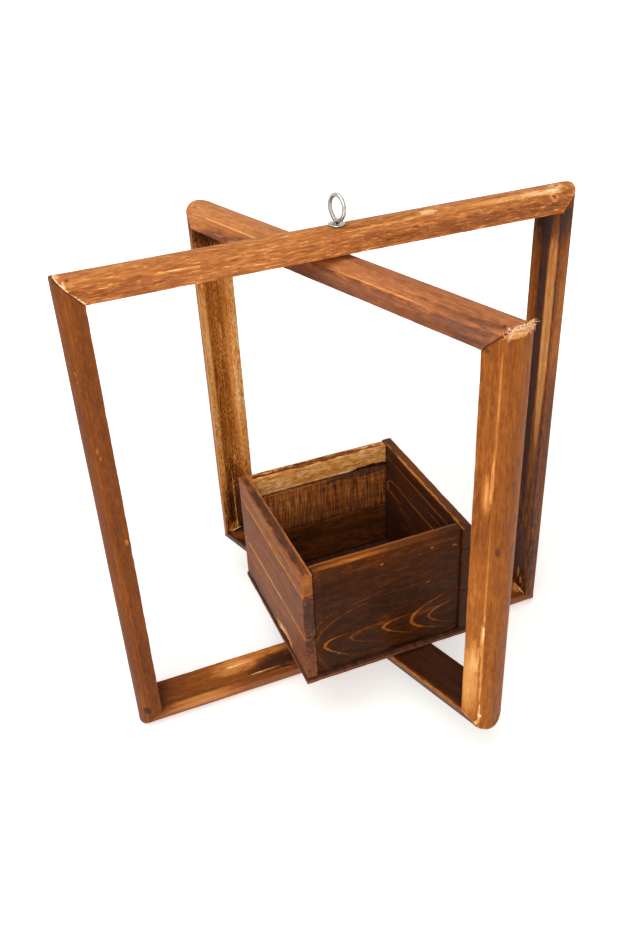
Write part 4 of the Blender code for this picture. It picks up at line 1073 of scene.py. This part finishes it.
def member(stock, item, opening, angle):
    """Cut one member from the stock, mitre it, wear it, drill it and put it in place."""
    sizes = bpy.context.scene.planter_moulding
    place, half_length = member_place(opening, item.quarter, angle)
    take(stock)
    bpy.ops.object.duplicate()
    piece = named(item.node + "_wood")
    open_mesh(piece)
    reach = half_length - sizes.mitre_gap
    for end in (-1.0, 1.0):
        plane_off((end * reach, 0.0, 0.0), (end, -1.0, 0.0))
    if item.quarter in (RIGHT, LEFT):
        # the leg's tip is planed and rounded in one go with the top rail
        into = place.inverted() @ member_place(opening, TOP, angle)[0]
        for point, normal in outline_planes(top_outline(sizes))[1:-1]:
            plane_off(into @ point, into.to_3x3() @ normal)

    def at_mitre(edge):
        return is_sharp(edge, 25.0) and any(abs(face.normal.x) > 0.5 for face in edge.link_faces)

    def hold(spot):
        return smooth_share((reach + spot.y - abs(spot.x)) / MITRE_HOLD)

    ease(piece, sizes.mitre_arris, 1, at_mitre)
    rings = int(2.0 * half_length / sizes.ring_step)
    split(piece, rings, lambda edge: runs_along(edge, 0) and edge.calc_length() > LONG_EDGE)
    close_mesh()
    weather(piece, item, sizes.wave, sizes.ridge_wear, hold)
    put(piece, place)
    prefix = item.node.split("_")[0] + "_"
    brads = [name for name in frame["nodes"] if "_rail_brad_" in name and name.startswith(prefix)]
    bore(piece, brad_holes(item.node, brads) + shank_holes(item.node))
    smooth(piece, WOOD_FACETS)
    return piece, wood_material(piece.name, place, item.wood, half_length)


def make_frame(members, angle, body, slot):
    """Both kinds of stock, full and planed for the top, and the four members cut from them."""
    sizes = bpy.context.scene.planter_moulding
    opening = frame_opening(members, angle)
    longest = 2.0 * max(opening[1], opening[2]) + 4.0 * sizes.depth
    full, planed = (moulding_stock(longest, outline(sizes)) for outline in (full_outline, top_outline))
    for item in members:
        piece, material = member(planed if item.quarter == TOP else full, item, opening, angle)
        dress(piece, material, body, slot, item.node)
    drop(full)
    drop(planed)


# The box

def board(item):
    """A sawn board: a block with eased edges, gridded, worn, drilled and put in place."""
    sizes = bpy.context.scene.planter_boards
    low, high = box_of(item.node)
    size = high - low
    place = Matrix.Translation((low + high) / 2.0)
    if item.along == "Y":
        size = Vector((size.y, size.x, size.z))
        place @= Matrix.Rotation(math.pi / 2.0, 4, "Z")
    piece = block(item.node + "_wood", size)
    open_mesh(piece)
    ease(piece, sizes.ease, 2, lambda edge: True)
    for axis in range(3):
        reach = size[axis] * 0.5
        split(
            piece,
            int(size[axis] / sizes.grid),
            lambda edge: runs_along(edge, axis, 0.001) and edge.calc_length() > reach,
        )
    close_mesh()
    weather(piece, item, sizes.wave, sizes.edge_wear, lambda spot: 1.0)
    put(piece, place)
    brads = [name for name in frame["nodes"] if "_wall_brad_" in name or "base_brad_" in name]
    holes = brad_holes(item.node, brads)
    if item.node == "base_board":
        holes.append(screw_hole(item.node))
    bore(piece, holes)
    smooth(piece, WOOD_FACETS)
    dress(piece, wood_material(piece.name, place, item.wood), OUTER_BODY, item.slot, item.node)


# Fastenings

SCREW_HEAD, SCREW_POINT = 0.003, 0.006  # heights
CROSS = (0.0048, 0.0011, 0.0036)  # bars of the recess in the base screw's head
RING_START, RING_END = math.radians(-46.0), math.radians(195.0)
RING_COIL_START, RING_COIL = -0.0008, 0.0021  # how far the ring climbs off its plane
NECK_STEPS, RING_STEPS, END_STEPS = 24, 70, 12
SPLINTERS, SPLINTER_STEPS = 130, 6
TORN_FROM, TORN_TO = -14.0 * MM, 13.5 * MM  # across the leg, to the planed side
GLUE_STEPS = 12
EYE_POINT = ((0.0001, 0.25), (0.0051, 0.92))  # height over the shank's foot, share of the wire's thickness
NECK_FOOT = 0.0003  # the wire starts to bend this far over the washer
WIRE_END = (-0.0024, 0.0024, 0.0014)  # the cut end, seen from the washer's top
WIRE_END_EASE, WASHER_EASE, SPACER_EASE, SCREW_EASE = 0.0004, 0.0003, 0.0009, 0.0022
SCREW_TIP = 0.12  # share of the shank's width that is left at its point


def wires(name, paths, thickness, facets, merge):
    """Round wires along paths of (place, share of the thickness) as one mesh, opened for editing."""
    deselect()
    bpy.ops.curve.primitive_nurbs_path_add(location=(0.0, 0.0, 0.0))
    curve = named(name).data
    curve.splines.clear()
    for path in paths:
        spline = curve.splines.new("POLY")
        spline.points.add(len(path) - 1)
        for point, (spot, share) in zip(spline.points, path):
            point.co = (*spot, 1.0)
            point.radius = share
    curve.dimensions = "3D"
    curve.bevel_depth = thickness / 2.0
    curve.bevel_resolution = facets
    curve.use_fill_caps = True
    bpy.ops.object.convert(target="MESH")
    piece = bpy.context.object
    open_mesh(piece)
    bpy.ops.mesh.select_all(action="SELECT")
    bpy.ops.mesh.remove_doubles(threshold=merge)
    face_outwards()
    return piece


def eye_path():
    """Centre line of the screw eye from its point up, round the ring and back down to its cut end."""
    hardware = bpy.context.scene.planter_hardware
    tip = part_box("screw_eye")[0][2]
    washer_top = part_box("eye_washer")[1][2]
    half_width, half_height = hardware.ring_half_width, hardware.ring_half_height
    lift = math.sqrt(1.0 - (hardware.ring_shift / half_width) ** 2)
    centre = hardware.wire / 2.0 - half_height * lift - SKIN

    def ring(angle):
        share = (angle - RING_START) / (RING_END - RING_START)
        along = hardware.ring_shift + half_width * math.cos(angle)
        return Vector((along, RING_COIL_START + RING_COIL * share, centre + half_height * math.sin(angle)))

    foot = Vector((0.0, 0.0, washer_top + NECK_FOOT))
    start = ring(RING_START)
    way = (ring(RING_START + 0.01) - start).normalized()
    reach = (start - foot).length * hardware.neck_reach
    above, before = foot + Vector((0.0, 0.0, reach)), start - way * reach
    path = [(Vector((0.0, 0.0, tip + height)), share) for height, share in EYE_POINT]
    lower, upper = bent(foot, above, before, NECK_STEPS), bent(above, before, start, NECK_STEPS)
    for step in range(NECK_STEPS + 1):
        path.append((lower[step].lerp(upper[step], step / NECK_STEPS), 1.0))
    for step in range(1, RING_STEPS + 1):
        path.append((ring(RING_START + (RING_END - RING_START) * step / RING_STEPS), 1.0))
    last = ring(RING_END)
    end = Vector(WIRE_END) + Vector((0.0, 0.0, washer_top))
    way = (last - ring(RING_END - 0.01)).normalized()
    below = last + way * (end - last).length * hardware.neck_reach
    return path + [(spot, 1.0) for spot in bent(last, below, end, END_STEPS)[1:]]


def screw_eye(material):
    """One bent wire, drawn along its centre line, with a cut end that is slightly rounded."""
    hardware = bpy.context.scene.planter_hardware
    wire = wires("screw_eye_wire", [eye_path()], hardware.wire, 6, 1e-6)
    ease(wire, WIRE_END_EASE, 3, lambda edge: is_sharp(edge, WIRE_FACETS))
    close_mesh()
    put(wire, Matrix.Rotation(hardware.eye_turn, 4, "Z"))
    smooth(wire, WIRE_FACETS)
    dress(wire, material, OUTER_BODY, "bright_zinc", "screw_eye")


def strands(name, paths, thickness, material, body, slot):
    piece = wires(name, paths, thickness, 2, 1e-7)
    close_mesh()
    smooth(piece, WIRE_FACETS)
    dress(piece, material, body, slot)


def torn_corner():
    """Splinters torn up along the mitre at the inner frame's upper front corner."""
    sizes = bpy.context.scene.planter_moulding
    opening = frame_opening(INNER_MEMBERS, FRAME_ANGLE)
    place, half_length = member_place(opening, RIGHT, FRAME_ANGLE)
    top = opening[2] + sizes.top_depth
    outline = [point for point in full_outline(sizes) if TORN_FROM < point.x < TORN_TO]
    draws = random.Random(7)
    paths = []
    for _ in range(SPLINTERS):
        first = draws.randrange(len(outline) - 1)
        point = outline[first].lerp(outline[first + 1], draws.random())
        down = draws.uniform(-0.8, 5.0) * MM
        spot = Vector((-min(top, half_length + point.y) + down, point.y - 0.5 * MM, point.x))
        way = Vector((draws.uniform(-1.0, 0.9), draws.uniform(0.2, 0.8), draws.uniform(-1.0, 1.0)))
        curl = Vector((draws.uniform(-0.9, 0.9), draws.uniform(-0.8, 0.1), draws.uniform(-1.0, 1.0)))
        coil = Vector((draws.uniform(-0.5, 0.5), 0.0, draws.uniform(-0.5, 0.5)))
        reach = draws.uniform(1.2, 4.0) * MM
        width = draws.uniform(0.5, 1.0)
        path = []
        for step in range(SPLINTER_STEPS + 1):
            share = step / SPLINTER_STEPS
            here = spot + (way * share + curl * share ** 2 + coil * math.sin(4.0 * share)) * reach
            # nothing stands further out than the crown or far above the planed top
            here.y = min(here.y, point.y + 1.2 * MM, sizes.depth - 0.5 * MM, sizes.depth + 0.4 * MM - 0.33 * here.z)
            here.x = max(here.x, -top - 1.3 * MM)
            path.append((place @ here, width * (1.0 - 0.75 * share)))
        paths.append(path)
    return paths


# Dried glue at the lower inner corners: name, members, angle, body, slot, end, from and to across the rail
GLUE = (
    ("inner_corner_glue", INNER_MEMBERS, FRAME_ANGLE, INNER_BODY, "inner_frame_wood", 1.0, 1.5 * MM, 14.0 * MM),
    ("outer_corner_glue", OUTER_MEMBERS, 0.0, OUTER_BODY, "outer_frame_wood", -1.0, 6.0 * MM, 16.0 * MM),
)


def glue_beads(material):
    """Glue squeezed out along the lower inner corners."""
    draws = random.Random(11)
    for name, members, angle, body, slot, end, near, far in GLUE:
        place, half_length = member_place(frame_opening(members, angle), BOTTOM, angle)
        path = []
        for step in range(GLUE_STEPS + 1):
            share = math.sin(math.pi * (step + 0.6) / (GLUE_STEPS + 1.2)) * draws.uniform(0.5, 1.1)
            across = near + (far - near) * step / GLUE_STEPS
            spot = Vector((end * (half_length - 0.5 * MM), -0.2 * MM, across))
            path.append((place @ spot, max(0.2, share)))
        strands(name, [path], bpy.context.scene.planter_hardware.bead, material, body, slot)


def frame_body(node):
    """The body that a node rides on."""
    for body, members in frame["record"]["behaviour"]["bodies"].items():
        if node in members:
            return body
    raise RuntimeError("no body holds " + node)


def washer(material):
    """Stamped washer: a disc with a hole, its rim rolled over."""
    low, high = box_of("eye_washer")
    piece = disc("eye_washer_disc", "eye_washer", high.z - low.z, 64)
    ease(piece, WASHER_EASE, 3, is_rim)
    close_mesh()
    width = bpy.context.scene.planter_hardware.washer_hole
    bore(piece, [upright_hole("eye_washer", width, ((low + high) / 2.0).xy)])
    smooth(piece, TURNED_FACETS)
    dress(piece, material, frame_body("eye_washer"), "bright_zinc", "eye_washer")


def base_screw(material):
    """Pan-headed screw: a cylinder stepped in to its shank, pointed, with a cross recess in its head."""
    low, high = box_of("base_screw")
    screw = disc("base_screw_panhead", "base_screw", SCREW_HEAD, 48)
    over = high.z - SCREW_HEAD / 2.0
    ease(screw, SCREW_EASE, 6, lambda edge: is_rim(edge) and min(vertex.co.z for vertex in edge.verts) > over)
    pick(screw, "FACE", lambda face: face.normal.z < -0.9)
    bpy.ops.mesh.inset(thickness=(high.x - low.x - SCREW_SHANK) / 2.0)
    for drop_by in (high.z - SCREW_HEAD - low.z - SCREW_POINT, SCREW_POINT):
        bpy.ops.mesh.extrude_region_move(TRANSFORM_OT_translate={"value": (0.0, 0.0, -drop_by)})
    bpy.ops.transform.resize(value=(SCREW_TIP, SCREW_TIP, 1.0), center_override=(0.0, 0.0, low.z))
    face_outwards()
    close_mesh()
    for turn in (0.0, math.pi / 2.0):
        deselect()
        bpy.ops.mesh.primitive_cube_add(size=1.0, location=(0.0, 0.0, high.z), rotation=(0.0, 0.0, turn), scale=CROSS)
        cut_away(screw, bpy.context.object)
    smooth(screw, SCREW_FACETS)
    dress(screw, material, OUTER_BODY, "bright_zinc", "base_screw")


def spacer():
    """Turned block between the two bottom rails, its rims eased, bored for the base screw."""
    low, high = box_of("rail_spacer")
    piece = disc("rail_spacer_block", "rail_spacer", high.z - low.z, 72)
    ease(piece, SPACER_EASE, 3, is_rim)
    split(piece, 8, lambda edge: runs_along(edge, 2, 0.01) and edge.calc_length() > 0.01)
    close_mesh()
    bore(piece, [screw_hole("rail_spacer")])
    smooth(piece, TURNED_FACETS)
    place = Matrix.Translation((low + high) / 2.0) @ Matrix.Rotation(math.pi / 2.0, 4, "Y")
    material = wood_material("rail_spacer_wood", place, Wood(81.0, tone=0.4, scorch=0.2))
    dress(piece, material, frame_body("rail_spacer"), "spacer_wood", "rail_spacer")


# Stage

LAMP_TARGET = Vector((0.0, 0.0, -0.25))
FLOOR_SIZE, FLOOR_DROP = 24.0, 0.0002  # the floor lies this far below the lowest point
FLOOR_GLOW = (200.0, 1100.0, 0.5, 1.0)  # from and to in mm off the middle, and the glow at each
KEY_PLACE, KEY_SIDE = (-0.45, -0.4, 1.35), 1.2
FRONT_PLACE, FRONT_SIDE = (-0.75, -1.4, 0.7), 1.3
FILM_WIDTH, FAR_END = 36.0, 30.0
CAMERA_PLACE = (-0.2568, -0.6208, 0.2139)
CAMERA_HEADING, CAMERA_DROP, CAMERA_ROLL = -20.07, 33.18, -3.26  # degrees
WHITE = (1.0, 1.0, 1.0, 1.0)
WARM_WHITE = (1.0, 0.995, 0.98, 1.0)


def lamp(name, spot, side, power):
    """A square soft lamp that looks at the piece."""
    deselect()
    way = LAMP_TARGET - Vector(spot)
    bpy.ops.object.light_add(type="AREA", location=spot, rotation=way.to_track_quat("-Z", "Y").to_euler())
    light = named(name).data
    light.shape = "SQUARE"
    light.size = side
    light.energy = power


def floor_material():
    """Pale paper that keeps the shadow and shows white to the camera and in the metal."""
    shade = tuple(bpy.context.scene.planter_stage.floor)
    graph = Finish("floor paper")
    own = graph.own_space(Matrix.Identity(4))
    grain = graph.noise(own, (0.05, 0.05, 0.05), 1.0, 3.0, 0.6)
    graph.look("Base Color", graph.mixed(grain, shade, tuple(0.97 * part for part in shade)))
    graph.look("Roughness", 0.9)
    graph.look("Specular IOR Level", 0.1)
    away = graph.vector("LENGTH", graph.vector("MULTIPLY", own, (1.0, 1.0, 0.0)))
    glow = graph.spread(away, *FLOOR_GLOW)
    graph.look("Emission Color", WARM_WHITE)
    graph.look("Emission Strength", graph.sum("MULTIPLY", graph.seen(), glow))
    return graph.material


def make_stage():
    stage = bpy.context.scene.planter_stage
    deselect()
    bpy.ops.mesh.primitive_plane_add(size=FLOOR_SIZE, location=(0.0, 0.0, CAD_BOX[0][2] - FLOOR_DROP))
    floor = named("paper_floor")
    settle()
    floor.data.materials.append(floor_material())

    lamp("key_lamp", KEY_PLACE, KEY_SIDE, stage.key_power)
    lamp("front_lamp", FRONT_PLACE, FRONT_SIDE, stage.fill_power)

    world = bpy.data.worlds.new("plain surroundings")
    bpy.context.scene.world = world
    world.use_nodes = True
    graph = Graph(world.node_tree)
    background = graph.tree.nodes["Background"]
    graph.feed(background.inputs["Color"], WHITE)
    graph.feed(background.inputs["Strength"], graph.spread(graph.seen(), 0.0, 1.0, stage.sky, 1.0))

    deselect()
    turn = (
        Matrix.Rotation(math.radians(CAMERA_HEADING), 3, "Z")
        @ Matrix.Rotation(math.radians(90.0 - CAMERA_DROP), 3, "X")
        @ Matrix.Rotation(math.radians(CAMERA_ROLL), 3, "Z")
    )
    bpy.ops.object.camera_add(location=CAMERA_PLACE, rotation=turn.to_euler())
    camera = named("photo_camera")
    camera.data.lens = stage.lens
    camera.data.sensor_width = FILM_WIDTH
    camera.data.clip_end = FAR_END
    bpy.context.scene.camera = camera
    bpy.context.scene.view_settings.view_transform = "Standard"


# Operators

class PLANTER_OT_outer_frame(Operator):
    """Mitred outer frame"""

    bl_idname = "planter.outer_frame"
    bl_label = "Outer frame"

    def execute(self, context):
        make_frame(OUTER_MEMBERS, 0.0, OUTER_BODY, "outer_frame_wood")
        return {"FINISHED"}


class PLANTER_OT_inner_frame(Operator):
    """Mitred inner frame that swivels in the outer one"""

    bl_idname = "planter.inner_frame"
    bl_label = "Inner frame"

    def execute(self, context):
        make_frame(INNER_MEMBERS, FRAME_ANGLE, INNER_BODY, "inner_frame_wood")
        return {"FINISHED"}


class PLANTER_OT_box(Operator):
    """Boards of the planter box"""

    bl_idname = "planter.box"
    bl_label = "Box"

    def execute(self, context):
        for item in BOARDS:
            board(item)
        return {"FINISHED"}


class PLANTER_OT_spacer(Operator):
    """Turned block between the bottom rails"""

    bl_idname = "planter.spacer"
    bl_label = "Rail spacer"

    def execute(self, context):
        spacer()
        return {"FINISHED"}


class PLANTER_OT_hardware(Operator):
    """Screw eye, washer, base screw and brads"""

    bl_idname = "planter.hardware"
    bl_label = "Hardware"

    def execute(self, context):
        metal = context.scene.planter_metal
        zinc = metal_material("bright zinc", tuple(ZINC_SHARE * part for part in metal.zinc), 0.2)
        screw_eye(zinc)
        washer(zinc)
        base_screw(zinc)
        steel = metal_material("brad steel", tuple(metal.steel), 0.4)
        for name, piece in frame["nodes"].items():
            if "brad" in name:
                piece.data.materials.clear()
                piece.data.materials.append(steel)
        return {"FINISHED"}


class PLANTER_OT_traces(Operator):
    """Torn splinters and dried glue at the corners"""

    bl_idname = "planter.traces"
    bl_label = "Splinters and glue"

    def execute(self, context):
        glue_beads(glue_material("dried glue", tuple(context.scene.planter_metal.glue)))
        wood = Wood(91.0, tone=0.88, bloom=0.12, scorch=0.24, grain=2.0)
        torn = wood_material("torn_fibres", Matrix.Identity(4), wood)
        width = context.scene.planter_hardware.splinter
        strands("torn_corner_splinters", torn_corner(), width, torn, INNER_BODY, "inner_frame_wood")
        return {"FINISHED"}


class PLANTER_OT_stage(Operator):
    """Floor, lamps, surroundings and camera"""

    bl_idname = "planter.stage"
    bl_label = "Stage"

    def execute(self, context):
        make_stage()
        return {"FINISHED"}


OPERATORS = (
    PLANTER_OT_outer_frame,
    PLANTER_OT_inner_frame,
    PLANTER_OT_box,
    PLANTER_OT_spacer,
    PLANTER_OT_hardware,
    PLANTER_OT_traces,
    PLANTER_OT_stage,
)


class PLANTER_PT_sidebar(Panel):
    bl_idname = "PLANTER_PT_sidebar"
    bl_label = "Hanging planter"
    bl_space_type = "VIEW_3D"
    bl_region_type = "UI"
    bl_category = "Planter"

    def draw(self, context):
        for operator in OPERATORS:
            self.layout.operator(operator.bl_idname)
        for group, kind in GROUPS.items():
            box = self.layout.box()
            box.label(text=kind.__doc__)
            for name in kind.__annotations__:
                box.prop(getattr(context.scene, group), name)


def register():
    for kind in GROUPS.values():
        bpy.utils.register_class(kind)
    for group, kind in GROUPS.items():
        setattr(bpy.types.Scene, group, PointerProperty(type=kind))
    for operator in OPERATORS:
        bpy.utils.register_class(operator)
    bpy.utils.register_class(PLANTER_PT_sidebar)


def unregister():
    bpy.utils.unregister_class(PLANTER_PT_sidebar)
    for operator in reversed(OPERATORS):
        bpy.utils.unregister_class(operator)
    for group in GROUPS:
        delattr(bpy.types.Scene, group)
    for kind in GROUPS.values():
        bpy.utils.unregister_class(kind)


def main():
    register()
    bpy.ops.planter.outer_frame()
    bpy.ops.planter.inner_frame()
    bpy.ops.planter.box()
    bpy.ops.planter.spacer()
    bpy.ops.planter.hardware()
    bpy.ops.planter.traces()
    bpy.ops.planter.stage()


if __name__ == "__main__":
    main()
